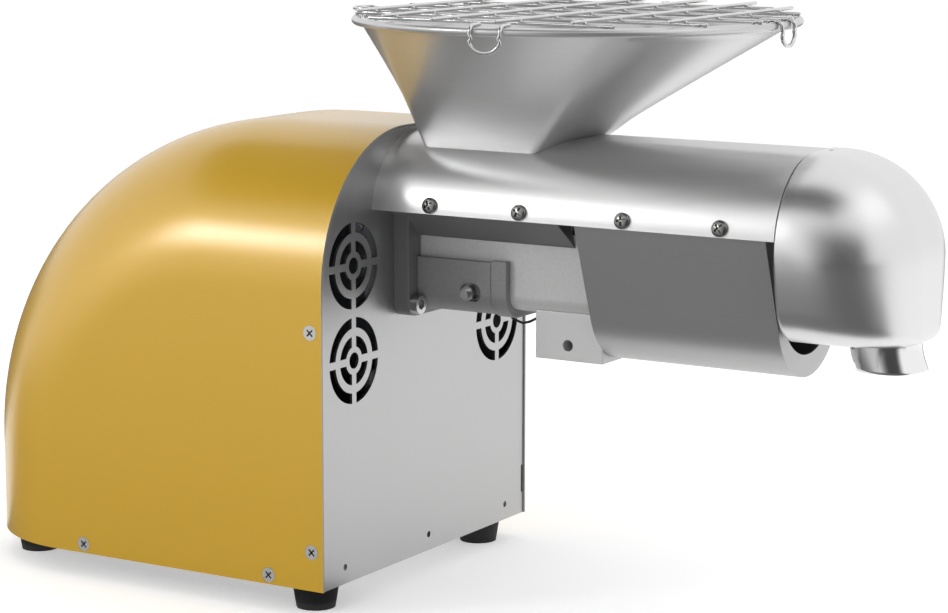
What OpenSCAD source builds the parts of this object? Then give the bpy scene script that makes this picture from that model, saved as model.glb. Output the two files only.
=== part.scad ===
// Domestic screw oil press: gold motor housing, cast press arm, hopper with wire guard.
// Millimetres. +X points forward along the press arm, +Z up, the feet stand on Z = 0.
// Modules are written from the front panel's outer face (X = 0); place() then moves the
// whole press so that the origin is under the middle of its bounding box.

/* [Housing] */
// Width of the gold shell
shell_w = 210; // [196:1:224]
// Height of the shell above the feet
shell_h = 239; // [232:1:250]
// Length of the shell behind the front panel
shell_len = 258; // [250:1:275]
// Radius of the shell's shoulders, at the top and at the rear
shell_corner_r = 80; // [70:1:88]
// Radius of the shell's curved back, seen from the side
shell_arc_r = 186; // [175:1:195]
// Thickness of the shell
shell_wall = 1.2; // [1:0.1:2]
// How far the shell's front edge stands proud of the panel
shell_lip = 0.8; // [0.2:0.1:2]
// Thickness of the front panel's sheet
panel_t = 1.5; // [1:0.1:2]
// Width of the flanges folded back from the panel's sides
panel_fold = 12.5; // [11:0.5:16]
// Thickness of the base plate
base_t = 2; // [1.5:0.1:3]
// Height of the base plate's upturned flanges
base_flange_h = 13.5; // [10:0.5:20]
// Gap between sheets that slide into each other
sheet_gap = 0.3; // [0.1:0.05:0.5]

/* [Panel openings] */
// Distance of each vent from the middle of the panel
vent_y = 73.5; // [70:0.5:76]
// Depth of the lower vents below the shell's top
vent_drop = 120.3; // [115:0.1:125]
// Height between lower and upper vents
vent_pitch = 50.4; // [48:0.2:54]
// Outer radius of a vent
vent_r = 23; // [20:0.5:24]
// Width of a vent's ring slots
vent_slot = 5.6; // [4:0.2:6]
// Width of the metal left between rings
vent_land = 4.3; // [3:0.1:5]
// Width of the bars that cross a vent
vent_bar = 4; // [3:0.2:5]
// Radius of the holes along the panel's lower edge
panel_hole_r = 1.75; // [1.5:0.05:2]
// Spacing of the holes along the panel's lower edge
panel_hole_pitch = 83; // [76:1:86]
// Height of those holes above the base
panel_hole_h = 9; // [7:0.5:11]

/* [Feet] */
// Height of a rubber foot
foot_h = 14.5; // [10:0.5:20]
// Radius of a foot on the table
foot_r = 10.5; // [8:0.5:12]
// Radius of a foot at the base plate
foot_top_r = 12.8; // [10:0.2:14]
// Distance of the front feet behind the panel
foot_front_x = 18.5; // [17:0.5:30]
// Distance of the front feet from the middle
foot_front_y = 83.7; // [76:0.5:86]
// Distance of the rear feet behind the panel
foot_rear_x = 225; // [200:1:228]
// Distance of the rear feet from the middle
foot_rear_y = 64; // [50:1:68]

/* [Screws] */
// Shank radius of the housing and cover screws
screw_r = 2; // [1.5:0.1:2.2]
// Head radius of the housing and cover screws
screw_head_r = 4; // [3.5:0.1:4.4]
// Head height of the cover's pan-head screws
pan_h = 2.4; // [1.8:0.1:2.8]
// Shank radius of the arm's socket bolts
bolt_r = 3; // [2.5:0.1:3.2]
// Head radius of the arm's socket bolts
bolt_head_r = 5; // [4.5:0.1:5.4]
// Head height of the arm's socket bolts
bolt_head_h = 5; // [4:0.2:6]
// Shank radius of the gearbox, motor and foot screws
case_bolt_r = 2.5; // [2:0.1:2.8]
// Radial clearance round a screw in its hole
screw_gap = 0.15; // [0.05:0.05:0.3]

/* [Gear train] */
// Depth of the press screw's axis below the shell's top
axis_drop = 73.5; // [71:0.5:75]
// Share of the drop from screw to motor that the output gear pair spans
out_share = 0.6; // [0.58:0.01:0.62]
// Teeth of the output gear
out_teeth = 48; // [46:2:50]
// Teeth of the idler shaft's pinion
idler_pinion_teeth = 12; // [12:2:14]
// Teeth of the idler gear
idler_teeth = 60; // [56:2:62]
// Teeth of the motor pinion
motor_teeth = 12; // [12:2:14]
// Face width of the output gear
out_face = 16; // [12:1:18]
// Face width of the idler gear
idler_face = 12; // [9:1:13]
// Thinning of each tooth for backlash
backlash = 0.16; // [0.1:0.02:0.24]
// Radial running clearance of shafts in bearings
run_gap = 0.05; // [0.02:0.01:0.08]
// Wall of the gearbox
case_wall = 4; // [3:0.5:5]

/* [Motor] */
// Outer radius of the motor can
motor_r = 46; // [42:1:47]
// Gap under the motor can
motor_lift = 5; // [3:0.5:7]
// Length of the motor can
motor_len = 114; // [100:1:118]
// Wall of the motor can
motor_wall = 3; // [2:0.5:4]
// Radius of the rotor core
rotor_r = 20; // [18:0.5:24]
// Length of the rotor and stator cores
core_len = 70; // [50:1:74]
// Air gap between rotor and stator
air_gap = 0.5; // [0.4:0.05:0.8]
// Radius of the cooling fan
fan_r = 40; // [32:1:44]
// Length of the fan's blades along the shaft
fan_len = 14; // [10:1:18]
// Number of fan blades
fan_blades = 9; // [6:1:12]

/* [Press arm] */
// Length of the arm cover from the panel to the cap
cover_len = 232; // [228:1:240]
// Width of the arm cover
cover_w = 112.4; // [110:0.2:116]
// Height of the arm cover's flat top above the screw axis
cover_rise = 70.3; // [69:0.1:72]
// Height of the arm cover's lower edges above the screw axis
cover_edge = 31.2; // [30.5:0.1:32]
// Radius of the arm cover's shoulders
cover_r = 44; // [40:0.5:46]
// Thickness of the arm cover
cover_wall = 1.5; // [1:0.1:2]
// Height of the cover screws above the cover's lower edges
cover_screw_up = 4.4; // [4:0.1:5]
// Thickness of the mounting flange against the panel
flange_t = 9.5; // [8:0.5:12]
// Width of the mounting flange
flange_w = 70; // [68:1:76]
// Depth of the mounting flange below the screw axis
flange_drop = 28.6; // [28:0.2:30]
// Height of the mounting flange above the screw axis
flange_rise = 56; // [54:0.5:58]
// Width of the cast barrel holder
neck_w = 46; // [44:0.5:48]
// Depth of the barrel holder's underside below the screw axis
neck_drop = 22.4; // [22:0.1:23.5]
// Radius of the barrel holder's lower edges
neck_edge_r = 9; // [6:0.5:11]
// Length of the barrel holder in front of the flange
neck_len = 130; // [122:1:140]
// Length of the sloping roof over the barrel holder
roof_len = 95; // [70:1:100]
// Thickness of the heater jacket
jacket_t = 3.5; // [2.5:0.1:4.5]
// Length of the heater jacket
jacket_len = 45.8; // [44:1:52]
// Width of the band that clamps the jacket
band_w = 9.3; // [6:0.5:10]
// Radial slack between seated castings
seat_gap = 0.1; // [0.05:0.05:0.2]

/* [Barrel and screw] */
// Bore radius of the press barrel
bore_r = 15.5; // [15:0.1:16]
// Outer radius of the press barrel
barrel_r = 19; // [18:0.1:19.4]
// Gap between the barrel nut and the seam of the cap
nut_gap = 4; // [2:0.5:8]
// Length of the barrel nut
nut_len = 24; // [18:1:28]
// Length of the nut's thread on the barrel
nut_overlap = 10; // [8:0.5:14]
// Clearance between the screw's flight and the bore
flight_gap = 0.4; // [0.3:0.05:0.6]
// Core radius of the press screw
core_r = 9; // [8:0.5:10]
// Pitch of the press screw's flight
flight_pitch = 24; // [20:1:30]
// Radius of the shaft that drives the screw
shaft_r = 10; // [9:0.2:10.6]
// Number of oil slots along the barrel
oil_slots = 7; // [4:1:9]
// Corner radius of the hexagonal barrel nut
nut_r = 24; // [22.5:0.5:26]

/* [Oil guard] */
// Distance of the oil guard's rear end from the panel
guard_x = 120.4; // [119.9:0.1:124]
// Gap between the oil guard's end and the seam of the cap
guard_end_gap = 5.5; // [3:0.5:10]
// Radius of the oil guard's round bottom
guard_r = 37.5; // [36:0.5:40]
// Depth of the round bottom's centre below the screw axis
guard_drop = 7; // [5:0.5:9]
// Angle of the oil guard's side walls
guard_angle = 20; // [18:0.5:22]
// Sheet thickness of the oil guard
guard_t = 1.2; // [0.8:0.1:1.6]
// Radius of the hole in the oil guard's end plate
guard_hole_r = 33; // [29:0.5:34]
// Radius of the oil drain in the guard's bottom
drain_r = 5; // [4:0.5:8]
// Side of the square block under the barrel holder
block_side = 40; // [36:1:42]
// Depth of the block's underside below the screw axis
block_drop = 45.8; // [42:0.2:50]
// Distance of the block's rear face from the panel
block_x = 79.4; // [77:0.2:80]
// Radius of the cross hole in the block
block_hole_r = 3; // [2.5:0.1:4]

/* [Cap and spout] */
// Length of the cap in front of the arm cover
cap_len = 58.5; // [56:0.5:66]
// Radius of the cap's rounded top front
cap_r = 53; // [48:0.5:55]
// Radius of the cap's shoulders, at the top and at the front
cap_corner_r = 47; // [44:0.5:47.5]
// Width of the cap
cap_w = 113.6; // [112:0.2:117]
// Height of the cap's top above the arm cover
cap_proud = 0.9; // [0.6:0.1:2]
// Depth of the cap's flat underside below the screw axis
cap_drop = 21.5; // [20:0.1:23]
// Lean of the cap's side walls
cap_lean = 14; // [12:0.5:16]
// Radius of the cap's lower edges
cap_edge_r = 18; // [12:0.5:20]
// Wall of the cap
cap_wall = 2.5; // [2:0.1:3]
// Gap at the seam between cap and arm cover
seam = 0.5; // [0.3:0.1:0.9]
// Outer radius of the spout at the cap
spout_r = 18.8; // [18:0.1:19.8]
// Outer radius of the spout at its mouth
spout_end_r = 18.4; // [16:0.1:19]
// Length of the spout
spout_len = 14.6; // [10:0.2:24]
// Wall of the spout
spout_wall = 1.4; // [1:0.1:2]
// Distance of the spout's axis behind the cap's front
spout_back = 20.2; // [20:0.1:24]

/* [Hopper] */
// Outer radius of the hopper's rim
rim_r = 117.3; // [108:0.5:124]
// Height of the rim's centre line above the screw axis
rim_rise = 131.2; // [120:0.2:140]
// Distance of the rim's centre from the panel
rim_x = 91.6; // [84:0.2:96]
// Radius of the rolled bead round the rim
bead_r = 2.2; // [1.8:0.1:3]
// Length of the hopper's square foot
foot_sq_x = 69; // [64:1:72]
// Width of the hopper's square foot
foot_sq_y = 70; // [64:1:72]
// Depth below the arm cover's top at which the funnel turns square
foot_sq_drop = 5.3; // [4.5:0.1:7]
// Distance of the square's middle from the panel
throat_x = 53.5; // [51:0.5:55]
// Inner length of the hopper's outlet
throat_l = 34; // [28:0.5:36]
// Inner width of the hopper's outlet
throat_w = 26; // [20:0.5:28]
// Sheet thickness of the hopper
hopper_t = 1.2; // [0.8:0.1:1.6]
// Gap round the hopper where it drops into the arm
hopper_gap = 0.5; // [0.3:0.1:0.8]

/* [Wire guard] */
// Radius of the guard's wires
wire_r = 1; // [1:0.05:1.5]
// Spacing of the guard's wires
wire_pitch = 36; // [30:1:40]
// Wires each way
wire_count = 6; // [4:2:6]
// Width of a clip that hooks over the rim
clip_w = 16; // [14:0.5:18]
// Straight drop of a clip outside the rim
clip_drop = 1.5; // [1:0.5:6]

/* [Controls] */
// Distance of the first switch behind the panel
switch_x = 62; // [58:1:66]
// Spacing of the two switches
switch_pitch = 32; // [28:1:36]
// Height of the switches
switch_z = 84; // [72:1:90]
// Width of a switch's frame
switch_w = 22; // [21:0.5:24]
// Height of a switch's frame
switch_h = 30; // [29:0.5:32]
// Tilt of a rocker to each side
rocker_tilt = 8; // [5:0.5:9]
// Distance of the mains inlet behind the panel
inlet_x = 150; // [140:1:160]
// Height of the mains inlet
inlet_z = 52; // [46:1:60]
// Length of the control board
board_l = 70; // [50:1:80]
// Width of the control board
board_w = 38; // [28:1:40]
// Radius of the run capacitor
cap_can_r = 16; // [12:0.5:18]

/* [Hidden] */
$fn = 96;
eps = 0.01;
cut = 1;
hull_fn = 64;
wire_fn = 32;

base_z = foot_h;
base_top = base_z + base_t;
shell_straight = shell_len - shell_arc_r;
arc_z = base_z + shell_h - shell_arc_r;
inner_w = shell_w/2 - shell_wall - sheet_gap;
inner_h = shell_h - shell_wall - sheet_gap;
inner_r = shell_corner_r - shell_wall - sheet_gap;
panel_slot = [3.4, 2.2, 16.3];
panel_slot_up = 12.4;
fold_screw_x = 6.5;
fold_from = 11;
fold_over = 12;
fold_screw_up = 20.8;
fold_screw_drop = 101.6;
fold_screw_z = [base_z + fold_screw_up, base_z + shell_h - fold_screw_drop];
vent_z = base_z + shell_h - vent_drop;
base_screw_x = [34.3, 159.2];
base_screw_h = 5;
screw_bite = 4;
flat_head_h = screw_head_r - screw_r;
foot_boss_h = 8;
foot_boss_r = 5;
foot_bore_h = 12;
foot_screw_in = 6;
flange_over = 12;
flange_behind = 6;
arm_reach = cover_len + seam + cap_len;
face_x = (shell_len - arm_reach)/2;

axis_z = base_z + shell_h - axis_drop;
motor_z = base_top + motor_r + motor_lift;
idler_z = axis_z - out_share*(axis_z - motor_z);
out_module = 2*(axis_z - idler_z)/(out_teeth + idler_pinion_teeth);
in_module = 2*(idler_z - motor_z)/(idler_teeth + motor_teeth);
lid_t = 6;
lid_x = panel_t + lid_t;
boss_depth = 7.5;
bearing_w = 10;
small_bearing_w = 8;
out_bearing_r = 19;
rear_bearing_r = 16;
rear_journal_r = 8;
idler_bearing_r = 11;
idler_shaft_r = 7;
idler_journal_r = 5;
motor_bearing_r = 13;
motor_shaft_r = 7;
gear_gap = 2;
out_gear_x = lid_x + boss_depth + gear_gap;
pinion_over = 1;
idler_gear_x = out_gear_x + out_face + pinion_over + 4;
case_back_t = 5;
case_x = idler_gear_x + idler_face + 12;
motor_x = case_x;
motor_plate_t = 4;
motor_end = motor_x + motor_plate_t + motor_len;
bell_t = 10;
core_x = motor_x + motor_plate_t + (motor_len - core_len)/2;
coil_h = 10;
out_room = 1.5;
idler_room = 1.25;
case_r = out_module*out_teeth/2 + out_module + out_room + case_wall;
case_w = 2*(in_module*idler_teeth/2 + in_module + idler_room + case_wall);
lug_r = 7;
lug_t = 4;
lug_out = 6;
lugs = [[case_w/2 + lug_out, base_top + 23.5], [case_w/2 + lug_out, idler_z + 5.5],
    [0.94*(case_r + lug_out), axis_z + 0.34*(case_r + lug_out)]];
motor_bolt = motor_r*0.805;
bolt_cap_h = 4;

cover_top = axis_z + cover_rise;
cover_low = axis_z + cover_edge;
cover_screw_z = cover_low + cover_screw_up;
arm_low = cover_low - 0.2;
flange_top = axis_z + flange_rise;
flange_low = axis_z - flange_drop;
flange_corner_r = 7;
flange_bolts_at = [[flange_w/2 - 5, flange_low + 6.6], [flange_w/2 - 9, flange_top - 8]];
neck_low = axis_z - neck_drop;
neck_top_edge = arm_low - 16.5;
block_low = axis_z - block_drop;
roof_cut = 4.2;
neck_rise = roof_len - 7;
tray_t = 3;
tray_side_h = 8;
tray_side_t = 3;
tongue_len = 12;
barrel_x = flange_t + 12.5;
seal_w = 7;
seal_r = 16;
jacket_top = axis_z + 3.5;
band_groove = 0.6;
pin_x = flange_t + 0.728*jacket_len;
pin_z = axis_z - 13.5;
pin_r = 3.8;
pin_out = 7;
barrel_len = cover_len - nut_gap - nut_len + nut_overlap - barrel_x;
guard_z = axis_z - guard_drop;
plate_t = 1.5;
guard_len = cover_len - guard_end_gap - plate_t - guard_x;
cover_screw_x = [for (share = [0.154, 0.385, 0.642, 0.874]) share*cover_len];
cap_x = cover_len + seam;
cap_back = cap_len - cap_r;
cap_shave = 0.2;
spout_x = cap_x + cap_len - spout_back;
throat_ol = throat_l + 2*hopper_t;
throat_ow = throat_w + 2*hopper_t;
cap_top = cover_top + cap_proud;
cap_low = axis_z - cap_drop;
rim_z = axis_z + rim_rise;
foot_sq_z = cover_top - foot_sq_drop;
throat_z = foot_sq_z - 21;
throat_low = axis_z + barrel_r + 4;
collar_t = 3;
bead_c = rim_r - bead_r;
funnel_r = bead_c - 3.1;
ring_z = rim_z + 1.2;
ring_r = bead_c - 3.6 - (wire_r - 1.25);
wire_z = ring_z + 2*wire_r;
clip_r = rim_r + 0.4 + wire_r;
clip_bend = 3.5;
clip_angles = [-83, 2, 97];
flat_angle = 205;
switch_wall = 2;
switch_depth = 22;
bezel_t = 2;
rocker_in = 6;
rocker_pin_r = 1.5;

gold = [0.78, 0.6, 0.2];
steel = [0.77, 0.77, 0.77];
satin = [0.72, 0.72, 0.73];
cast = [0.62, 0.62, 0.6];
dark_cast = [0.3, 0.3, 0.31];
black = [0.06, 0.06, 0.06];

// Helpers

module place() { translate([face_x, 0, 0]) children(); }

// Extrudes a (y, z) outline along X from x0
module along_x(x0, len) { translate([x0, 0, 0]) rotate([90, 0, 90]) linear_extrude(len) children(); }

module rod_x(r, x0, x1, z, y = 0) { translate([x0, y, z]) rotate([0, 90, 0]) cylinder(h = x1 - x0, r = r); }

module rod_y(r, y0, y1, x, z) { translate([x, y0, z]) rotate([-90, 0, 0]) cylinder(h = y1 - y0, r = r); }

module both_sides() {
    children();
    mirror([0, 1, 0]) children();
}

// Flat-topped arch: half width w, height h, shoulder radius r
module arch(w, h, r) {
    translate([-w, 0]) square([2*w, h - r]);
    translate([-(w - r), 0]) square([2*(w - r), h]);
    for (s = [-1, 1]) translate([s*(w - r), h - r]) circle(r);
}

// Strip from x = 0 to x = len, half width w, with its far corners rounded by r
module round_end(len, w, r) {
    translate([0, -w]) square([len - r, 2*w]);
    translate([0, -(w - r)]) square([len, 2*(w - r)]);
    for (s = [-1, 1]) intersection() {
        translate([len - r, s*(w - r)]) circle(r);
        translate([0, -w]) square([len, 2*w]);
    }
}

function involute(a) = tan(a)*180/PI - a;

// Spur gear outline with a tooth on +Y; flank runs from the root to the tip
module gear_outline(teeth, m, addendum, dedendum) {
    pitch_r = m*teeth/2;
    base_r = pitch_r*cos(20);
    root_r = pitch_r - dedendum*m;
    tip_r = pitch_r + addendum*m;
    foot = max(base_r + eps, root_r + eps);
    half = 90/teeth - backlash/2/pitch_r*180/PI + involute(20);
    steps = 4;
    flank = [for (i = [0:steps]) let (r = foot + (tip_r - foot)*i/steps)
        [r, half - involute(acos(base_r/r))]];
    outline = [for (t = [0:teeth - 1]) let (c = 90 + t*360/teeth) each concat(
        [[root_r, c - flank[0][1]]],
        [for (p = flank) [p[0], c - p[1]]],
        [for (i = [steps:-1:0]) [flank[i][0], c + flank[i][1]]],
        [[root_r, c + flank[0][1]]])];
    polygon([for (p = outline) p[0]*[cos(p[1]), sin(p[1])]]);
}

module phillips(r, depth) {
    for (a = [45, 135]) rotate([0, 0, a]) translate([-r*0.6, -r*0.11, -depth]) cube([r*1.2, r*0.22, depth + cut]);
}

// Screws point along -Z from z = 0, the face that they hold
module flat_screw(len) {
    difference() {
        union() {
            translate([0, 0, -flat_head_h]) cylinder(h = flat_head_h, r1 = screw_r, r2 = screw_head_r);
            translate([0, 0, -len]) cylinder(h = len - flat_head_h + eps, r = screw_r);
        }
        phillips(screw_head_r, 1);
    }
}

module flat_screw_hole(len) {
    translate([0, 0, -flat_head_h])
        cylinder(h = flat_head_h + eps, r1 = screw_r + screw_gap, r2 = screw_head_r + screw_gap);
    translate([0, 0, -len]) cylinder(h = len + cut, r = screw_r + screw_gap);
    cylinder(h = cut, r = screw_head_r + screw_gap);
}

module pan_screw(len) {
    dome = screw_head_r*1.25;
    difference() {
        union() {
            intersection() {
                cylinder(h = pan_h, r = screw_head_r);
                translate([0, 0, pan_h - dome]) sphere(dome);
            }
            translate([0, 0, -len]) cylinder(h = len + eps, r = screw_r);
        }
        translate([0, 0, pan_h]) phillips(screw_head_r, 1.4);
    }
}

module socket_bolt(len, r, head_r, head_h) {
    difference() {
        union() {
            cylinder(h = head_h, r = head_r);
            translate([0, 0, -len]) cylinder(h = len + eps, r = r);
        }
        translate([0, 0, head_h*0.45]) cylinder(h = head_h, r = head_r*0.56, $fn = 6);
    }
}

module on_side(x, z) { translate([x, -shell_w/2, z]) rotate([90, 0, 0]) children(); }

module at_shell_screws() {
    both_sides() {
        for (z = fold_screw_z) on_side(-fold_screw_x, z) children();
        for (x = base_screw_x) on_side(-x, base_z + base_screw_h) children();
    }
}

module at_feet() {
    for (p = [[-foot_front_x, foot_front_y], [-foot_rear_x, foot_rear_y]], s = [-1, 1])
        translate([p[0], s*p[1], 0]) children();
}

// Housing

// Solid form of the housing, drawn in by inset and dropped below the base for cutting
module housing_form(inset, front, drop) {
    w = shell_w/2 - inset;
    r = shell_corner_r - inset;
    back = shell_arc_r - inset;
    low = base_z - drop;
    along_x(-shell_straight, shell_straight + front) translate([0, low]) arch(w, shell_h - inset + drop, r);
    translate([-shell_straight, 0, low]) linear_extrude(arc_z - low) mirror([1, 0]) round_end(back, w, r);
    translate([-shell_straight, 0, arc_z]) rotate([90, 0, 0]) rotate([0, 0, 90])
        rotate_extrude(angle = 90) round_end(back, w, r);
}

module shell() {
    color(gold) difference() {
        housing_form(0, shell_lip, 0);
        housing_form(shell_wall, shell_lip + cut, cut);
        at_shell_screws() flat_screw_hole(shell_wall + cut);
        for (i = [0, 1]) at_switch(i) switch_cutout();
        at_inlet() inlet_cutout();
    }
}

module vent() {
    inner_r = vent_r - vent_slot - vent_land;
    difference() {
        union() {
            difference() {
                circle(vent_r);
                circle(vent_r - vent_slot);
            }
            difference() {
                circle(inner_r);
                circle(inner_r - vent_slot);
            }
        }
        square([2*vent_r + cut, vent_bar], center = true);
        square([vent_bar, 2*vent_r + cut], center = true);
    }
    circle(vent_r - 2*vent_slot - vent_land - 3.15);
}

module front_panel() {
    color(steel) difference() {
        union() {
            along_x(-panel_t, panel_t) difference() {
                translate([0, base_z]) arch(inner_w, inner_h, inner_r);
                for (s = [-1, 1], i = [0, 1]) translate([s*vent_y, vent_z + i*vent_pitch]) vent();
                for (i = [-1:1]) translate([i*panel_hole_pitch, base_z + panel_hole_h]) circle(panel_hole_r);
                translate([0, axis_z]) circle(shaft_r + 2);
                for (p = flange_bolts_at, s = [-1, 1]) translate([s*p[0], p[1]]) circle(bolt_r + screw_gap);
            }
            both_sides() translate([-panel_t - panel_fold, -inner_w, base_z + fold_from])
                cube([panel_fold + eps, panel_t, fold_screw_z[1] + fold_over - base_z - fold_from]);
        }
        at_shell_screws() flat_screw_hole(shell_wall + sheet_gap + panel_t + cut);
        translate([-panel_slot[0], inner_w - panel_slot[1], base_z + panel_slot_up])
            cube([panel_slot[0] + cut, panel_slot[1] + cut, panel_slot[2]]);
    }
}

module base_plate() {
    flange_from = panel_t + panel_fold + flange_behind;
    color(steel) difference() {
        union() {
            translate([-panel_t, 0, base_z]) linear_extrude(base_t) mirror([1, 0])
                round_end(shell_len - shell_wall - sheet_gap - panel_t, inner_w, inner_r);
            both_sides() translate([-base_screw_x[1] - flange_over, -inner_w, base_z])
                cube([base_screw_x[1] + flange_over - flange_from, panel_t, base_t + base_flange_h]);
            both_sides() translate([-2*panel_t, -inner_w + panel_t + 6, base_z])
                cube([panel_t, inner_w - panel_t - 6 - case_w/2 - 2*lug_r - 4, base_t + base_flange_h + 4]);
            at_feet() translate([0, 0, base_top - eps]) cylinder(h = foot_boss_h, r = foot_boss_r);
            at_board_corners() translate([0, 0, base_top - eps]) cylinder(h = board_rise + eps, r = 3);
        }
        at_feet() translate([0, 0, base_z - cut]) cylinder(h = foot_bore_h + cut, r = case_bolt_r + screw_gap);
        at_shell_screws() flat_screw_hole(shell_wall + sheet_gap + panel_t + cut);
    }
}

module shell_screws() {
    color(steel) at_shell_screws() flat_screw(shell_wall + sheet_gap + panel_t + screw_bite);
}

module foot(i, s) {
    p = i == 0 ? [-foot_front_x, s*foot_front_y] : [-foot_rear_x, s*foot_rear_y];
    color(black) translate([p[0], p[1], 0]) difference() {
        cylinder(h = foot_h, r1 = foot_r, r2 = foot_top_r);
        translate([0, 0, -cut]) cylinder(h = foot_h + 2*cut, r = case_bolt_r + screw_gap);
        translate([0, 0, -cut]) cylinder(h = foot_h*0.55 + cut, r = 2*case_bolt_r + 1);
    }
}
module foot_front_near() { foot(0, -1); }
module foot_front_far() { foot(0, 1); }
module foot_rear_near() { foot(1, -1); }
module foot_rear_far() { foot(1, 1); }

module foot_screws() {
    color(steel) at_feet() translate([0, 0, foot_h*0.55]) rotate([180, 0, 0])
        socket_bolt(foot_h*0.45 + base_t + foot_screw_in, case_bolt_r, 2*case_bolt_r, bolt_cap_h - 1);
}

// Gearbox and motor

module case_outline(inset) {
    translate([-case_w/2 + inset, base_top + inset]) square([case_w - 2*inset, axis_z - base_top - inset]);
    translate([0, axis_z]) circle(case_r - inset);
}

module at_lugs() { for (p = lugs, s = [-1, 1]) translate([s*p[0], p[1]]) children(); }

module gearbox_case() {
    color(cast) difference() {
        union() {
            along_x(-case_x, case_x - lid_x) case_outline(0);
            along_x(-lid_x - lug_t, lug_t) intersection() {
                at_lugs() circle(lug_r);
                translate([-shell_w/2, base_top]) square([shell_w, shell_h]);
            }
            rod_x(rear_bearing_r + 6, -case_x - 4, -case_x + eps, axis_z);
        }
        difference() {
            along_x(-case_x + case_back_t, case_x) case_outline(case_wall);
            rod_x(rear_bearing_r + 4, -case_x, -case_x + bearing_w, axis_z);
            rod_x(idler_bearing_r + 4, -case_x, -case_x + bearing_w, idler_z);
        }
        rod_x(rear_bearing_r, -case_x - 2, -case_x + bearing_w + cut, axis_z);
        rod_x(idler_bearing_r, -case_x + bearing_w - small_bearing_w - 1, -case_x + bearing_w + cut, idler_z);
        rod_x(12, -case_x - cut, -case_x + case_back_t + cut, motor_z);
        along_x(-lid_x - lug_t - cut, lug_t + 2*cut) at_lugs() circle(case_bolt_r + screw_gap);
        along_x(-case_x - cut, case_back_t + 2*cut) at_motor_bolts() circle(case_bolt_r + screw_gap);
    }
}

module at_motor_bolts() {
    for (sy = [-1, 1], sz = [-1, 1]) translate([sy*motor_bolt, motor_z + sz*motor_bolt]) children();
}

module gearbox_lid() {
    color(cast) difference() {
        union() {
            along_x(-lid_x, lid_t) {
                case_outline(0);
                at_lugs() circle(lug_r);
            }
            rod_x(out_bearing_r + 6, -lid_x - boss_depth, -lid_x + eps, axis_z);
            rod_x(idler_bearing_r + 4, -lid_x - boss_depth, -lid_x + eps, idler_z);
        }
        rod_x(out_bearing_r, -lid_x - boss_depth - cut, -lid_x - boss_depth + bearing_w + 1, axis_z);
        rod_x(shaft_r + 2, -lid_x - cut, 0, axis_z);
        rod_x(idler_bearing_r, -lid_x - boss_depth - cut, -lid_x - boss_depth + small_bearing_w + 1, idler_z);
        along_x(-lid_x - cut, lid_t + 2*cut) {
            at_lugs() circle(case_bolt_r + screw_gap);
            for (p = flange_bolts_at, s = [-1, 1]) translate([s*p[0], p[1]]) circle(bolt_r + screw_gap);
        }
    }
}

module gearbox_bolts() {
    color(steel) translate([-lid_x - lug_t, 0, 0]) for (p = lugs, s = [-1, 1])
        translate([0, s*p[0], p[1]]) rotate([0, -90, 0])
            socket_bolt(lug_t + lid_t - 0.5, case_bolt_r, 1.8*case_bolt_r, bolt_cap_h);
}

module bearing(bore, outer, w) {
    difference() {
        cylinder(h = w, r = outer);
        translate([0, 0, -cut]) cylinder(h = w + 2*cut, r = bore + run_gap);
        for (z = [-eps, w - 0.6]) translate([0, 0, z]) difference() {
            cylinder(h = 0.6 + eps, r = outer - 2);
            cylinder(h = 0.6 + eps, r = bore + run_gap + 2);
        }
    }
}

module bearing_at(x, z, bore, outer, w) {
    translate([x, 0, z]) rotate([0, 90, 0]) bearing(bore, outer - seat_gap/4, w);
}

module output_bearings() {
    color(steel) {
        bearing_at(-lid_x - boss_depth, axis_z, shaft_r, out_bearing_r, bearing_w);
        bearing_at(-case_x - 1, axis_z, rear_journal_r, rear_bearing_r, bearing_w);
    }
}

module idler_bearings() {
    color(steel) {
        bearing_at(-lid_x - boss_depth, idler_z, idler_journal_r, idler_bearing_r, small_bearing_w);
        bearing_at(-case_x + bearing_w - small_bearing_w, idler_z, idler_journal_r, idler_bearing_r, small_bearing_w);
    }
}

module motor_bearings() {
    color(steel) {
        bearing_at(-motor_x - motor_plate_t - bearing_w + 2, motor_z, motor_shaft_r, motor_bearing_r, bearing_w);
        bearing_at(-motor_end - 2, motor_z, motor_shaft_r, motor_bearing_r, bearing_w);
    }
}

module output_gear() {
    color(steel) along_x(-out_gear_x - out_face, out_face) translate([0, axis_z]) difference() {
        rotate(180/out_teeth) gear_outline(out_teeth, out_module, 0.75, 1.35);
        circle(shaft_r);
        for (a = [30:60:330]) rotate(a) translate([out_module*out_teeth/2*0.6, 0]) circle(9);
    }
}

module output_shaft() {
    front = flange_t + 10.5;
    color(steel) difference() {
        union() {
            rod_x(rear_journal_r, -case_x - 0.5, -case_x + bearing_w, axis_z);
            rod_x(shaft_r, -case_x + bearing_w, front, axis_z);
        }
        translate([front - 16, 0, axis_z]) rotate([0, 90, 0]) cylinder(h = 16 + cut, r = hex_r(11.2), $fn = 6);
    }
}

function hex_r(flats) = flats/2/cos(30);

module idler_shaft() {
    color(steel) {
        along_x(-out_gear_x - out_face - pinion_over, out_face + 2*pinion_over) translate([0, idler_z])
            gear_outline(idler_pinion_teeth, out_module, 1, 1.2);
        rod_x(idler_shaft_r, -idler_gear_x - idler_face - 1, -lid_x - boss_depth - 0.5, idler_z);
        rod_x(idler_journal_r, -case_x + bearing_w - small_bearing_w + 0.5, -lid_x - boss_depth + small_bearing_w - 0.5, idler_z);
    }
}

module idler_gear() {
    color(steel) along_x(-idler_gear_x - idler_face, idler_face) translate([0, idler_z]) difference() {
        rotate(180/idler_teeth) gear_outline(idler_teeth, in_module, 0.75, 1.35);
        circle(idler_shaft_r);
    }
}

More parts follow.
